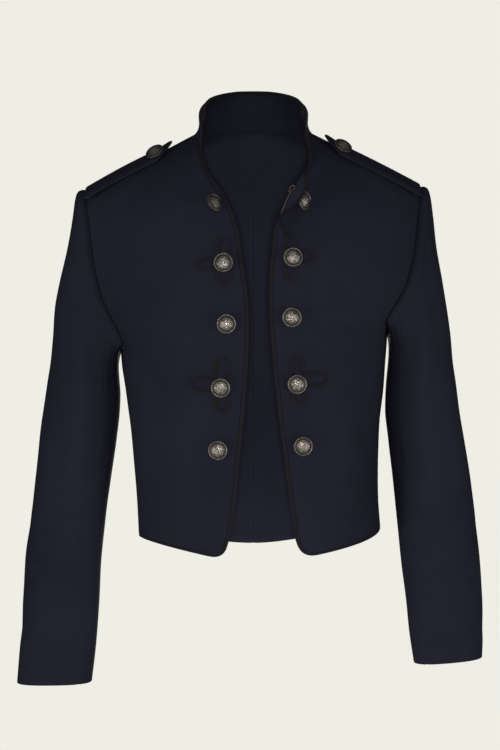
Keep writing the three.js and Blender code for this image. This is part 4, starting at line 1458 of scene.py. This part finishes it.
@dataclass
class SleevePiece:
    """The top or under piece of a two-piece sleeve."""

    side: Side
    part: str
    first: float
    last: float
    columns: int
    wardrobe: Wardrobe
    rows: int = 236
    cuff_band: float = 32.0
    cuff_thickness: float = 0.5
    seam_overlap: float = 0.75
    head_overlap: float = 0.8
    gathers: float = 0.22
    roll: float = 1.1
    draft: tuple[int, int] = (340, 150)

    def laid_out(self) -> Surface:
        """The plain form of the piece, cut back from its outline.

        Returns:
            The grid, with degrees round the sleeve and height as its chart.
        """
        form = SleeveForm(self.side)
        station = np.linspace(0, LAST_STATION, self.draft[0])
        degrees = np.linspace(self.first, self.last, self.draft[1])
        place = form.point(station[:, None] + 0 * degrees, degrees + 0 * station[:, None])
        core = np.broadcast_to(form.core(station)[:, None], place.shape)
        chart = np.stack([np.broadcast_to(degrees, place.shape[:2]), place[..., 2]], axis=-1)
        seam = SEWN - self.seam_overlap * (1 - eased(station / 0.5))
        cuts = (seam, seam, ROUND - self.head_overlap, ROUND)
        return trimmed(Surface(place, chart, core), self.rows, self.columns, cuts)

    def lift(self, surface: Surface) -> Array:
        """How folds, unevenness and the fullness of the sleeve head lift the cloth.

        Args:
            surface: The plain form.

        Returns:
            One lift for each place, in millimetres.
        """
        below = surface.border_distance()[2]
        chart = surface.extra
        lift = sum(folds_lift(SLEEVE_FOLDS, chart + (shift, 0)) for shift in (0, 360, -360))
        lift = lift * eased(below / 30) + UNEVEN(surface.place) * (0.4 + 0.6 * eased(below / 20))
        waves = np.sin(chart[..., 0] * 0.42 + 1.7 * np.sin(chart[..., 0] / 23))
        head = np.clip(np.cos(np.radians(chart[..., 0])), 0, 1)
        fullness = self.gathers * waves * np.exp(-below / 9) + self.roll * np.exp(-((below - 8) / 9) ** 2)
        return (lift + head * fullness) * eased(below / 3 + 0.15)

    def build(self) -> Piece:
        """Makes the piece.

        Returns:
            The piece.
        """
        plain = self.laid_out()
        surface = plain.lifted(self.lift(plain))
        above = surface.border_distance()[3]
        step = self.cuff_thickness * (1 - eased((above - self.cuff_band) / STEP_WIDTH)) - THINNER
        name = f"sleeve_{self.part}_{self.side.value}"
        shell = ClothShell(name, surface, WALL, (True, True, True, False), step, "hung")
        return shell.piece(self.wardrobe)


@dataclass
class Collar:
    """Stand collar, swelling out a little at half of its height."""

    wardrobe: Wardrobe
    rows: int = 24
    columns: int = 250
    swell: float = 60.0
    swell_from: float = 0.42
    fade_share: float = 0.25
    seam_overlap: float = 0.9
    end: float = 0.965
    draft: tuple[int, int] = (60, 400)
    surface: Surface = field(init=False)

    def __post_init__(self) -> None:
        """Lays the collar out."""
        rows, columns = self.draft
        position = np.linspace(-self.end, self.end, columns)[None, :] + np.zeros((rows, 1))
        up = np.linspace(0, 1, rows)[:, None] + np.zeros((1, columns))
        place = self.point(position, up)
        core = place * (0, 0, 1) + (0, RIDGE_Y, 0)
        whole = Surface(place, np.stack([position, up], axis=-1), core)
        surface = trimmed(whole, self.rows, self.columns, (ROUND, ROUND, SEWN - self.seam_overlap, ROUND))
        self.surface = surface.lifted(0.5 * UNEVEN(surface.place))

    def point(self, position: Array, up: Array) -> Array:
        """Places on the collar.

        Args:
            position: From the wearer's right front end (-1) to the left one (1).
            up: Share of the height.

        Returns:
            Places in millimetres.
        """
        along = np.abs(position)
        is_right = position < 0
        sign = np.where(is_right, -1, 1)
        right, left = (BodyForm(side).neck(along) for side in (Side.RIGHT, Side.LEFT))
        base = np.where(is_right[..., None], right, left)
        x, y, z = (COLLAR_TOP[name](along) for name in "xyz")
        top = np.stack([sign * x, y, z], axis=-1)
        outward = unit((base - (0, RIDGE_Y, 0)) * (1, 1, 0))
        fade = np.minimum(1, (1 - along) / self.fade_share)
        swell = self.swell * fade * up * (1 - up) * (up - self.swell_from)
        return blend(base, top, up[..., None]) + outward * swell[..., None]

    def build(self) -> Piece:
        """Makes the piece."""
        shell = ClothShell("collar", self.surface, WALL, (False, False, True, False), 0.0, "draped", True)
        return shell.piece(self.wardrobe)

    def piped_border(self) -> Array:
        """Outline that carries piping, up one end, along the top and down the other.

        Returns:
            Place, outward direction and piping width of each row.
        """
        place, normal = self.surface.place, self.surface.normals()
        rows, columns = place.shape[:2]
        cells = [(r, 0) for r in range(4, rows - 2)] + [(rows - 1, c) for c in range(2, columns - 2)]
        cells += [(r, columns - 1) for r in range(rows - 3, 3, -1)]
        return np.array([[*place[r, c], *normal[r, c], PIPING_WIDTH] for r, c in cells])


def tube_faces(rings: int, sides: int) -> Faces:
    """Faces of a tube with a cap at each end.

    Args:
        rings: Number of its rings.
        sides: Places on each ring.

    Returns:
        Corner numbers of each face.
    """
    faces = []
    for ring in range(rings - 1):
        for n in range(sides):
            a, b = ring * sides + n, ring * sides + (n + 1) % sides
            faces.append((a, b, b + sides, a + sides))
    faces.append(tuple(range(sides - 1, -1, -1)))
    faces.append(tuple(range((rings - 1) * sides, rings * sides)))
    return faces


@dataclass
class Sweep:
    """A cord or braid drawn along a line with one section."""

    name: str
    places: Array
    across: Array
    rise: Array
    widths: Array
    heights: Array
    section: Array

    def mesh(self) -> Mesh:
        """Builds the closed cord.

        Returns:
            The mesh.
        """
        count, sides = len(self.places), len(self.section)
        across, rise = unit(self.across), unit(self.rise)
        offset = (across[:, None] * self.section[None, :, :1] * self.widths[:, None, None] / 2
                  + rise[:, None] * self.section[None, :, 1:] * self.heights[:, None, None] / 2)
        points = (self.places[:, None] + offset).reshape(-1, 3)
        travelled = lengths_along(self.places)
        around = np.linspace(0, 2.2 * self.widths.mean(), sides)
        weave = np.stack([np.repeat(travelled, sides), np.tile(around, count)], axis=1)
        # How deep a place lies in the section's grooves and edges; the braid paints shade there.
        hollow = 1 - np.abs(self.section[:, 1]) / np.abs(self.section[:, 1]).max()
        marks = {"hollow": np.tile(hollow, count)}
        return mesh_from(self.name, points, tube_faces(count, sides), weave, marks)


def two_beads(points: int, groove: float, split: float = 0.0) -> Array:
    """Section of two beads side by side, as cord and its binding or a grooved braid.

    Args:
        points: Number of places round the section.
        groove: Height of the section between the beads, as a share.
        split: Place of the groove across the section, from -1 to 1.

    Returns:
        Places across and up, from -1 to 1.
    """
    angle = 2 * math.pi * (np.arange(points) + 0.5) / points
    across = np.cos(angle)
    height = groove * np.sqrt(np.clip(1 - across ** 2, 0, None))
    for middle, half in (((split - 1) / 2, (split + 1) / 2), ((split + 1) / 2, (1 - split) / 2)):
        bead = np.sqrt(np.clip(1 - ((across - middle) / half) ** 2, 0, None)) * (0.75 + 0.25 * half)
        height = np.maximum(height, bead)
    return np.stack([across, np.sign(np.sin(angle)) * height], axis=1)


@dataclass
class EdgePiping:
    """Piping in one run from the right hem up the edge, round the collar and down to the left hem."""

    border: Array
    wardrobe: Wardrobe
    thickness: float = 3.4
    hem_thickness: float = 2.4
    overlap: float = 0.15
    step: float = 1.5
    sides: int = 22
    corner: float = 2.6

    def build(self) -> Piece:
        """Makes the piece.

        Returns:
            The piece.
        """
        line = evened(self.border, self.step)
        line = np.concatenate([line[:1], softened(line, self.corner)[1:-1], line[-1:]])
        place, rise, width = line[:, :3], unit(line[:, 3:6]), line[:, 6]
        travel = unit(np.gradient(place, axis=0))
        across = unit(softened(np.cross(travel, rise), 1.5))
        rise = unit(np.cross(across, travel))
        centre = place + across * (ROUND + width / 2 - self.overlap)[:, None] - rise * WALL / 2
        wide = eased((width - HEM_PIPING) / (PIPING_WIDTH - HEM_PIPING))
        heights = blend(self.hem_thickness, self.thickness, wide)
        sweep = Sweep("edge_piping", centre, across, rise, width, heights, two_beads(self.sides, 0.3, -0.1))
        return place_piece("edge_piping_cord", sweep.mesh(), [self.wardrobe.braid], "trim", "edge_piping")


@dataclass
class FrontGround:
    """The outer face of a front, for finding what lies at a place seen from ahead."""

    piece: Piece
    ahead: float = -0.4
    tree: BVHTree = field(init=False)

    def __post_init__(self) -> None:
        """Prepares the search."""
        mesh = self.piece.data
        points = [vertex.co.copy() for vertex in mesh.vertices]
        self.tree = BVHTree.FromPolygons(points, [tuple(face.vertices) for face in mesh.polygons])

    def below(self, x: float, z: float) -> tuple[Array, Array]:
        """Place and outward direction, in millimetres, of the first cloth behind a place."""
        hit, normal, _, _ = self.tree.ray_cast(Vector((x * MM, self.ahead, z * MM)), Vector((0, 1, 0)))
        return np.array(hit) / MM, np.array(normal)


@dataclass(frozen=True)
class Loop:
    """One loop of a frog: how far it reaches, its half width, and how far it sits off the button's axis."""

    reach: float
    half: float
    shift: float = 0.0
    point: float = 1.0

    def line(self) -> list[tuple[float, float]]:
        """Line of the loop pointing up, from its right leg over the top to its left leg.

        Returns:
            Places across and up.
        """
        arc = np.radians(np.linspace(0, 180, 11))
        top = self.reach - self.half * self.point
        across = self.half * np.cos(arc) + self.shift
        rise = top + self.half * self.point * np.sin(arc)
        return [(self.half + self.shift, top * 0.5), *zip(across, rise), (-self.half + self.shift, top * 0.5)]


# The loops that point up, outward and down.
FROG_LOOPS = {
    (Side.RIGHT, 2): (Loop(28.3, 6.9), Loop(29.8, 5.7, -1.4, 1.35), Loop(25.8, 6.4)),
    (Side.RIGHT, 4): (Loop(32.2, 7.4, 1.2), Loop(34.0, 7.6, 2.6, 1.15), Loop(28.3, 7.6, 1.2)),
    (Side.LEFT, 2): (Loop(28.5, 5.0), Loop(24.0, 5.9, 0.6), Loop(26.3, 5.0, 4.0)),
    (Side.LEFT, 4): (Loop(32.8, 5.9), Loop(34.5, 7.0, 4.6, 1.1), Loop(24.7, 6.7, -2.0)),
}


@dataclass
class Frog:
    """Grooved braid laid in three loops round a button: up, outward and down."""

    side: Side
    number: int
    ground: FrontGround
    wardrobe: Wardrobe
    lean: float = 0.0
    width: float = 4.5
    height: float = 1.9
    groove: float = 0.35
    clear: float = 0.8
    sink: float = 0.05
    sides: int = 14

    def path(self) -> Array:
        """Line of the braid as offsets from the button: towards the middle, and up.

        Returns:
            Offsets in millimetres.
        """
        upper, outer, lower = FROG_LOOPS[self.side, self.number]
        first = upper.line()
        second = [(-y, x) for x, y in outer.line()]
        third = [(x, -y) for x, y in reversed(lower.line())]
        above = (upper.shift - upper.half - self.clear, outer.shift + outer.half + self.clear)
        below = (lower.shift - lower.half - self.clear, outer.shift - outer.half - self.clear)
        start, end = (0.75 * (upper.half + upper.shift), 1.5), (0.75 * (lower.half + lower.shift), -1.5)
        points = [start, *first, above, *second, below, *third, end]
        line = np.array([(x, y, 0.0) for x, y in points])
        line = evened(softened(evened(line, 1.0), 1.6), 0.8)
        tilt = math.radians(self.lean) * eased(line[:, 1] / 12)
        x = line[:, 0] * np.cos(tilt) + line[:, 1] * np.sin(tilt)
        y = line[:, 1] * np.cos(tilt) - line[:, 0] * np.sin(tilt)
        return np.stack([x, y], axis=1)

    def build(self) -> Piece:
        """Makes the piece.

        Returns:
            The piece.
        """
        x, z = BUTTONS[self.side][self.number - 1][:2]
        hits = [self.ground.below(self.side.sign * (x - inward), z + up) for inward, up in self.path()]
        place = softened(np.array([hit[0] for hit in hits]), 2.0)
        rise = unit(softened(np.array([hit[1] for hit in hits]), 4.0))
        travel = unit(np.gradient(place, axis=0))
        across = unit(np.cross(travel, rise))
        widths, heights = np.full(len(place), self.width), np.full(len(place), self.height)
        centre = place + rise * (self.height / 2 - self.sink)
        name = f"frog_{self.side.value}_{self.number}"
        sweep = Sweep(name, centre, across, rise, widths, heights, two_beads(self.sides, self.groove))
        return place_piece(f"{name}_braid", sweep.mesh(), [self.wardrobe.braid], "trim", name)


# Radius against height over the shank, for the domed face and for the rim.
BUTTON_DOME = ([0, 2.5, 5, 7.5, 9.0], [4.75, 4.62, 4.1, 3.2, 2.35])
BUTTON_RIM = ([9.0, 9.6, 10.3, 11.1, 11.5], [2.2, 2.5, 2.75, 2.4, 1.6])
# Radius, height over the shank and brightness of the back, down to the top of the shank.
BUTTON_BACK = ((11.3, 1.0, 0.4), (10.4, 0.35, 0.3), (6.0, 0.05, 0.2), (3.0, 0.0, 0.1), (2.6, -0.6, 0.1))


@dataclass
class Button:
    """Domed metal button with a rope rim and a plain rosette, on its shank."""

    name: str
    place: Array
    axis: Array
    shank: float
    wardrobe: Wardrobe
    turn: float = 0.0
    radius: float = 11.5
    face: float = 9.0
    rim: float = 10.3
    ditch: float = 8.6
    rope_turns: int = 34
    petals: int = 6
    crown: float = 5.25
    shank_radius: float = 2.6
    sewn_in: float = 1.4
    segments: int = 84

    def height(self, r: Array, angle: Array) -> tuple[Array, Array]:
        """Top of the button.

        Args:
            r: Distances from the middle.
            angle: Directions.

        Returns:
            Heights over the shank, and how high the relief stands from 0 to 1.
        """
        dome, rim_height = np.interp(r, *BUTTON_DOME), np.interp(r, *BUTTON_RIM)
        rim = np.exp(-((r - self.rim) / 0.75) ** 2)
        rope = 0.5 + 0.5 * np.cos(self.rope_turns * angle + 2.6 * (r - self.rim))
        petal = np.abs(np.cos(self.petals * angle / 2)) ** 0.8
        outer_leaf = np.abs(np.sin(self.petals * angle / 2)) ** 1.2
        inner_rose = eased((2.6 + 2.3 * petal - r) / 1.0) * eased((r - 1.7) / 0.5)
        outer_rose = eased((3.6 + 3.8 * outer_leaf - r) / 1.0) * eased((r - 3.4) / 0.8)
        vein = 0.3 * np.cos(self.petals * angle) ** 6 * eased((r - 2) / 2)
        boss = 0.95 * eased((1.6 - r) / 0.5)
        relief = np.maximum.reduce([inner_rose * (0.9 - vein), outer_rose * (0.62 - 0.6 * vein), boss])
        on_face = r < self.face
        shell = np.where(on_face, dome + 0.5 * relief, rim_height + 0.25 * rim * rope)
        ditch = np.exp(-((r - self.ditch) / 0.8) ** 2)
        high = np.where(on_face, 0.38 + 0.5 * relief - 0.55 * ditch, 0.02 + 0.6 * rim * (0.45 + 0.55 * rope))
        return shell, high

    def build(self) -> Piece:
        """Makes the piece.

        Returns:
            The piece.
        """
        radii = np.concatenate([np.linspace(0.25, self.face, 34), np.linspace(9.15, self.radius, 13)])
        angle = np.arange(self.segments) * 2 * math.pi / self.segments
        rings, highs = [], []
        for r in radii:
            height, high = self.height(np.full_like(angle, r), angle)
            rings.append(np.stack([r * np.cos(angle), r * np.sin(angle), self.shank + height], axis=1))
            highs.append(high)
        for r, height, high in (*BUTTON_BACK, (self.shank_radius, -self.shank - self.sewn_in, 0.1)):
            level = np.full_like(angle, self.shank + height)
            rings.append(np.stack([r * np.cos(angle), r * np.sin(angle), level], axis=1))
            highs.append(np.full_like(angle, high))
        points = np.concatenate([*rings, [[0, 0, self.shank + self.crown]]])
        marks = np.concatenate([*highs, [0.95]])
        faces = []
        for ring in range(len(rings) - 1):
            for n in range(self.segments):
                a, b = ring * self.segments + n, ring * self.segments + (n + 1) % self.segments
                faces.append((a, a + self.segments, b + self.segments, b))
        pole = len(points) - 1
        faces += [(pole, n, (n + 1) % self.segments) for n in range(self.segments)]
        last = (len(rings) - 1) * self.segments
        faces.append(tuple(last + n for n in range(self.segments - 1, -1, -1)))
        spin = Vector((0, 0, 1)).rotation_difference(Vector(self.axis)).to_matrix()
        cos, sin = math.cos(self.turn), math.sin(self.turn)
        turned = np.array(spin) @ np.array([[cos, -sin, 0], [sin, cos, 0], [0, 0, 1]])
        mesh = mesh_from(self.name, points @ turned.T + self.place, faces, None, {"high": marks})
        return place_piece(f"{self.name}_metal", mesh, [self.wardrobe.pewter], "pewter", self.name)


@dataclass
class Stitches:
    """A row of separate stitches along a line on cloth."""

    length: float = 2.3
    gap: float = 0.9
    thickness: float = 0.5
    sides: int = 6
    step: float = 0.8

    def capsule(self) -> tuple[Array, Faces]:
        """One stitch lying along X, dipping at both ends.

        Returns:
            Its places and faces.
        """
        stations = np.array([-1, -0.85, -0.45, 0, 0.45, 0.85, 1])
        radii = np.array([0.25, 0.75, 1, 1, 1, 0.75, 0.25]) * self.thickness / 2
        dips = np.array([-0.9, -0.35, 0.1, 0.2, 0.1, -0.35, -0.9]) * self.thickness / 2
        angle = np.arange(self.sides) * 2 * math.pi / self.sides
        flat = np.zeros_like(angle)
        rings = [np.stack([flat + s * self.length / 2, r * np.cos(angle), r * np.sin(angle) + d], axis=1)
                 for s, r, d in zip(stations, radii, dips)]
        return np.concatenate(rings), tube_faces(len(rings), self.sides)

    def mesh(self, name: str, runs: Sequence[tuple[Array, Array]]) -> Mesh:
        """Sews along several lines.

        Args:
            name: Name of the mesh.
            runs: For each line, its places and the directions off the cloth.

        Returns:
            All stitches in one mesh.
        """
        capsule, pattern = self.capsule()
        points, faces = [], []
        for places, ways in runs:
            line = evened(np.concatenate([places, ways], axis=1), self.step)
            travelled = lengths_along(line[:, :3])
            for start in np.arange(0, travelled[-1] - self.length, self.length + self.gap):
                middle = start + self.length / 2
                spot = np.array([np.interp(middle, travelled, column) for column in line.T])
                ahead = np.array([np.interp(middle + self.step, travelled, line[:, n]) for n in range(3)])
                rise = unit(spot[3:])
                travel = unit(ahead - spot[:3])
                across = unit(np.cross(rise, travel))
                base = len(points) * len(capsule)
                points.append(capsule @ np.stack([travel, across, rise]) + spot[:3])
                faces += [tuple(base + n for n in face) for face in pattern]
        return mesh_from(name, np.concatenate(points), faces)


# Distance from the middle of the strap's tip and of its button, and how far the strap arches up.
STRAP_SIZES = {Side.RIGHT: (97, 114, 2), Side.LEFT: (85, 103, 1.2)}


@dataclass
class Strap:
    """Shoulder strap from the armhole to its point near the collar, edge-stitched, with its button."""

    side: Side
    wardrobe: Wardrobe
    rows: int = 46
    columns: int = 90
    half_width: float = 25.5
    centre_y: float = -16.5
    thickness: float = 2.8
    tip_length: float = 16.0
    lift: float = 0.8
    stitch_inset: float = 4.6
    button_forward: float = 10.0
    button_lean: float = -0.4
    button_gap: float = 1.6
    drop: float = 17.5
    hind_drop: float = 3.5
    tip_rise: float = 5.5
    tip_reach: float = 20.0
    stitch_depth: float = 0.34
    stitch_width: float = 0.9

    def __post_init__(self) -> None:
        """Settles the sizes that differ between the sides."""
        self.form = BodyForm(self.side)
        self.tip, self.button_x, self.arch = STRAP_SIZES[self.side]
        self.start = float(self.form.half(np.array(1.0))) - 2

    def under(self, x: Array, y: Array) -> Array:
        """Underside of the strap over the shoulder seam.

        Args:
            x: Distances from the middle.
            y: Depths.

        Returns:
            Places in millimetres.
        """
        seam = self.form.point(self.form.turn_at(x, np.ones_like(x)), np.ones_like(x))
        arch = self.arch * np.sin(math.pi * np.clip((self.start - x) / (self.start - self.tip), 0, 1))
        reach = (y - RIDGE_Y) / (self.half_width - self.centre_y + RIDGE_Y)
        drop = np.where(reach < 0, self.drop * np.abs(reach) ** 1.6, self.hind_drop * (2 * reach) ** 2)
        rise = self.tip_rise * np.clip(1 - (x - self.tip) / self.tip_reach, 0, 1) ** 1.5
        return np.stack([seam[..., 0], y, seam[..., 2] + self.lift + arch + rise - drop], axis=-1)

    def top(self, x: Array, y: Array, height: float) -> tuple[Array, Array]:
        """Places over the underside, and the directions off the strap.

        Args:
            x: Distances from the middle.
            y: Depths.
            height: Height over the underside.

        Returns:
            Places in millimetres and directions of length 1.
        """
        along = self.under(x + 1, y) - self.under(x - 1, y)
        across = self.under(x, y + 1) - self.under(x, y - 1)
        normal = unit(np.cross(along, across) * self.side.sign)
        return self.under(x, y) + normal * height, normal

    def outline(self, x: Array, inset: float = 0.0) -> Array:
        """Half width of the strap, coming to a blunt point."""
        share = np.clip((self.tip + inset * 1.5 + self.tip_length - x) / self.tip_length, 0, 1)
        return (self.half_width - inset) * (1 - share) ** 0.62

    def build(self) -> None:
        """Makes the strap with its stitching and button."""
        far = np.linspace(self.start - ROUND, self.tip + self.tip_length, self.columns - 26)
        near = self.tip + self.tip_length * (1 - eased(np.linspace(0, 1, 28)[1:-1]) * 0.985)
        x = np.concatenate([far, near])
        share = np.linspace(-1, 1, self.rows)
        half = self.outline(x) - 0.6
        grid_x = x[None, :] + 0 * share[:, None]
        place, normal = self.top(grid_x, self.centre_y + share[:, None] * half[None, :], self.thickness)
        surface = Surface(place, np.stack([grid_x, place[..., 1]], axis=-1), place - normal * 20)
        inset = np.minimum((1 - np.abs(share[:, None])) * half[None, :], (x - self.tip)[None, :])
        groove = -self.stitch_depth * np.exp(-((inset - self.stitch_inset) / self.stitch_width) ** 2)
        pad = 0.25 * eased(inset / 3) + 0.25 * UNEVEN(place)
        surface = surface.lifted(groove + pad)
        shell = ClothShell(f"epaulette_{self.side.value}", surface, self.thickness - 0.2,
                           (False, False, False, False), 0.0, "stretched")
        shell.piece(self.wardrobe, self.stitching())
        self.button()

    def stitching(self) -> Piece:
        """Edge stitching of the strap.

        Returns:
            The piece.
        """
        inset = self.stitch_inset
        point = self.tip + inset * 1.5
        straight = np.linspace(self.start - 4, point + self.tip_length, 60)
        x = np.concatenate([straight, point + self.tip_length * (1 - eased(np.linspace(0, 1, 24)[1:]))])
        half = self.outline(x, inset)
        both_x = np.concatenate([x, x[::-1]])
        both_y = self.centre_y + np.concatenate([-half, half[::-1]])
        places, ways = self.top(both_x, both_y, self.thickness + 0.02)
        name = f"epaulette_{self.side.value}_stitches"
        mesh = Stitches().mesh(name, [(places, ways)])
        return place_piece(name, mesh, [self.wardrobe.dark_thread], "cloth")

    def button(self) -> Piece:
        """Button of the strap.

        Returns:
            The piece.
        """
        y = np.array(self.centre_y - self.button_forward)
        place, normal = self.top(np.array(float(self.button_x)), y, self.thickness)
        axis = unit(normal + (0.0, self.button_lean, 0.0))
        name = f"button_epaulette_{self.side.value}"
        return Button(name, place + normal * self.button_gap, axis, self.button_gap, self.wardrobe).build()


FRONT_SHANK = 3.4
TURN_STEP = 0.37


def front_buttons(side: Side, wardrobe: Wardrobe) -> None:
    """The five buttons of one front.

    Args:
        side: Which front.
        wardrobe: The finishes.
    """
    form = BodyForm(side)
    for number, (x, z, lean, turn) in enumerate(BUTTONS[side], start=1):
        place, normal = form.on_front(x, z)
        a, b = math.radians(lean), math.radians(turn)
        flat = np.array([[math.cos(b), -math.sin(b), 0], [math.sin(b), math.cos(b), 0], [0, 0, 1]])
        tip = np.array([[1, 0, 0], [0, math.cos(a), -math.sin(a)], [0, math.sin(a), math.cos(a)]])
        raised = place + normal * (SEAM + 3 * math.sin(math.radians(max(0.0, turn - abs(lean)))))
        name = f"button_{side.value}_{number}"
        axis = tip @ flat @ normal
        Button(name, raised, axis, FRONT_SHANK, wardrobe, turn=TURN_STEP * number).build()


@dataclass
class ThreadLoop:
    """Tan thread along the turned edge, ending in a small loop where a hook would catch."""

    panel: BodyPanel
    wardrobe: Wardrobe
    low: float = -107.0
    high: float = -76.0
    reach: float = 5.0
    width: float = 2.2
    thread: float = 1.15
    forward: float = 1.6

    def line(self) -> tuple[Array, Array]:
        """Line of the thread: up the fold, then round the loop and back down beside it.

        Returns:
            Places and outward directions.
        """
        places, ways = self.panel.fold_line(self.low, self.high)
        up = unit(places[-1] - places[-3])
        out = np.array([-0.25, -0.97, 0.0])
        across = unit(np.cross(up, out))
        across = across * -np.sign(across[0])
        places = places + ways * 0.35 - (0, self.forward, 0)
        angle = np.radians(np.linspace(180, -100, 40))
        loop = (places[-1] - (0, 2 * self.forward, 0) + up[None, :] * (self.reach * np.sin(angle))[:, None]
                + across[None, :] * (self.width * (1 + np.cos(angle)) - 1.0)[:, None])
        line = np.concatenate([places, loop])
        directions = np.concatenate([ways, np.broadcast_to(out, loop.shape)])
        both = evened(np.concatenate([line, directions], axis=1), 0.6)
        both = softened(both, 1.2)
        return both[:, :3], unit(both[:, 3:])

    def build(self) -> Piece:
        """Makes the piece.

        Returns:
            The piece.
        """
        places, rise = self.line()
        travel = unit(np.gradient(places, axis=0))
        angle = 2 * math.pi * np.arange(10) / 10
        section = np.stack([np.cos(angle), np.sin(angle)], axis=1)
        size = np.full(len(places), self.thread)
        sweep = Sweep("thread_loop", places, np.cross(travel, rise), rise, size, size, section)
        return place_piece("thread_loop", sweep.mesh(), [self.wardrobe.tan_thread], "cloth")


@dataclass
class Jacket:
    """The whole jacket."""

    wardrobe: Wardrobe
    hem_stitch_lines: tuple[float, float] = (4.6, 11.2)
    frog_numbers: tuple[int, int] = (2, 4)
    first_left_frog_lean: float = 11.0

    def build(self) -> None:
        """Makes every piece in order."""
        fronts = {side: BodyPanel(side, Facing.FRONT, self.wardrobe) for side in Side}
        grounds = {side: FrontGround(panel.build()) for side, panel in fronts.items()}
        backs = [BodyPanel(side, Facing.BACK, self.wardrobe) for side in Side]
        for back in backs:
            back.build()
        lines = [back.inside_line(height) for back in backs for height in self.hem_stitch_lines]
        hem = Stitches(2.0, 1.4, 0.4).mesh("back_hem_stitches", lines)
        place_piece("back_hem_stitches", hem, [self.wardrobe.dark_thread], "cloth")
        collar = Collar(self.wardrobe)
        collar.build()
        border = np.concatenate([
            fronts[Side.RIGHT].piped_border(), collar.piped_border(), fronts[Side.LEFT].piped_border()[::-1],
        ])
        EdgePiping(border, self.wardrobe).build()
        for side in Side:
            SleevePiece(side, "top", -115, 128, 92, self.wardrobe).build()
            SleevePiece(side, "under", 128, 245, 46, self.wardrobe).build()
            Strap(side, self.wardrobe).build()
            front_buttons(side, self.wardrobe)
            for number in self.frog_numbers:
                lean = self.first_left_frog_lean if side is Side.LEFT and number == 2 else 0.0
                Frog(side, number, grounds[side], self.wardrobe, lean).build()
        ThreadLoop(fronts[Side.LEFT], self.wardrobe).build()


@dataclass(frozen=True)
class SoftLight:
    """A large soft light: where it stands, its width and height, and its watts."""

    name: str
    place: tuple[float, float, float]
    size: tuple[float, float]
    power: float


LIGHTS = (
    SoftLight("front_light", (0.0, -2.7, -0.34), (0.16, 0.4), 37),
    SoftLight("key_light", (-2.35, -1.4, -0.9), (1.0, 1.6), 33),
    SoftLight("fill_light", (2.35, -1.4, -0.9), (1.0, 1.6), 30),
    SoftLight("top_light", (0.0, -1.5, 1.5), (1.2, 1.0), 5),
    SoftLight("back_light", (0.3, 2.9, 0.1), (1.0, 1.2), 62),
)


@dataclass
class Studio:
    """Pale floor, soft light and the camera at the photograph's angle."""

    camera_place: tuple[float, float, float] = (-0.0042, -2.5, -0.2916)
    lens: float = 100.0
    aim: tuple[float, float, float] = (0.0, 0.0, -0.3)
    room: Colour = tone(0.863, 0.855, 0.783)
    room_light: Colour = tone(0.86, 0.86, 0.84)
    room_strength: float = 0.09
    floor_height: float = -0.95
    floor_radius: float = 1100.0
    floor_rings: int = 12
    floor_sides: int = 96

    def build(self) -> None:
        """Sets up the studio."""
        self.camera()
        self.world()
        for light in LIGHTS:
            self.light(light)
        self.floor()

    def camera(self) -> None:
        """Level camera ahead of the jacket."""
        data = bpy.data.cameras.new("camera")
        data.lens = self.lens
        data.sensor_width = 36
        data.sensor_fit = "AUTO"
        camera = bpy.data.objects.new("camera", data)
        camera.location = self.camera_place
        camera.rotation_euler = (math.radians(90), 0, 0)
        bpy.context.scene.collection.objects.link(camera)
        bpy.context.scene.camera = camera

    def world(self) -> None:
        """Even pale surroundings, which light the jacket less than they look."""
        world = bpy.data.worlds.new("pale_room")
        world.use_nodes = True
        tree = world.node_tree
        seen = tree.nodes["Background"]
        seen.inputs["Color"].default_value = self.room
        lighting = tree.nodes.new("ShaderNodeBackground")
        lighting.inputs["Color"].default_value = self.room_light
        lighting.inputs["Strength"].default_value = self.room_strength
        path = tree.nodes.new("ShaderNodeLightPath")
        either = tree.nodes.new("ShaderNodeMixShader")
        tree.links.new(path.outputs["Is Camera Ray"], either.inputs[0])
        tree.links.new(lighting.outputs[0], either.inputs[1])
        tree.links.new(seen.outputs[0], either.inputs[2])
        tree.links.new(either.outputs[0], tree.nodes["World Output"].inputs[0])
        bpy.context.scene.world = world
        bpy.context.scene.view_settings.view_transform = "Standard"

    def light(self, light: SoftLight) -> None:
        """Hangs a light that faces the jacket.

        Args:
            light: Its sizes.
        """
        data = bpy.data.lights.new(light.name, "AREA")
        data.shape = "RECTANGLE"
        data.size, data.size_y = light.size
        data.energy = light.power
        lamp = bpy.data.objects.new(light.name, data)
        lamp.location = light.place
        lamp.rotation_euler = (Vector(self.aim) - Vector(light.place)).to_track_quat("-Z", "Y").to_euler()
        bpy.context.scene.collection.objects.link(lamp)

    def floor(self) -> None:
        """Round floor well below the cuffs."""
        rings, sides = self.floor_rings, self.floor_sides
        angle = np.arange(sides) * 2 * math.pi / sides
        points = [np.zeros((1, 3))]
        for ring in range(1, rings + 1):
            r = self.floor_radius * ring / rings
            points.append(np.stack([r * np.cos(angle), r * np.sin(angle), np.zeros(sides)], axis=1))
        faces = [(0, 1 + n, 1 + (n + 1) % sides) for n in range(sides)]
        for ring in range(rings - 1):
            for n in range(sides):
                a, b = 1 + ring * sides + n, 1 + ring * sides + (n + 1) % sides
                faces.append((a, a + sides, b + sides, b))
        mesh = mesh_from("floor", np.concatenate(points), faces)
        mesh.materials.append(PaleFloor().material())
        floor = bpy.data.objects.new("floor", mesh)
        floor.location = (0, 0, self.floor_height)
        bpy.context.scene.collection.objects.link(floor)


def main() -> None:
    """Builds the studio and the jacket."""
    logging.basicConfig(level=logging.INFO, format="%(message)s")
    Studio().build()
    Jacket(Wardrobe()).build()


if __name__ == "__main__":
    main()
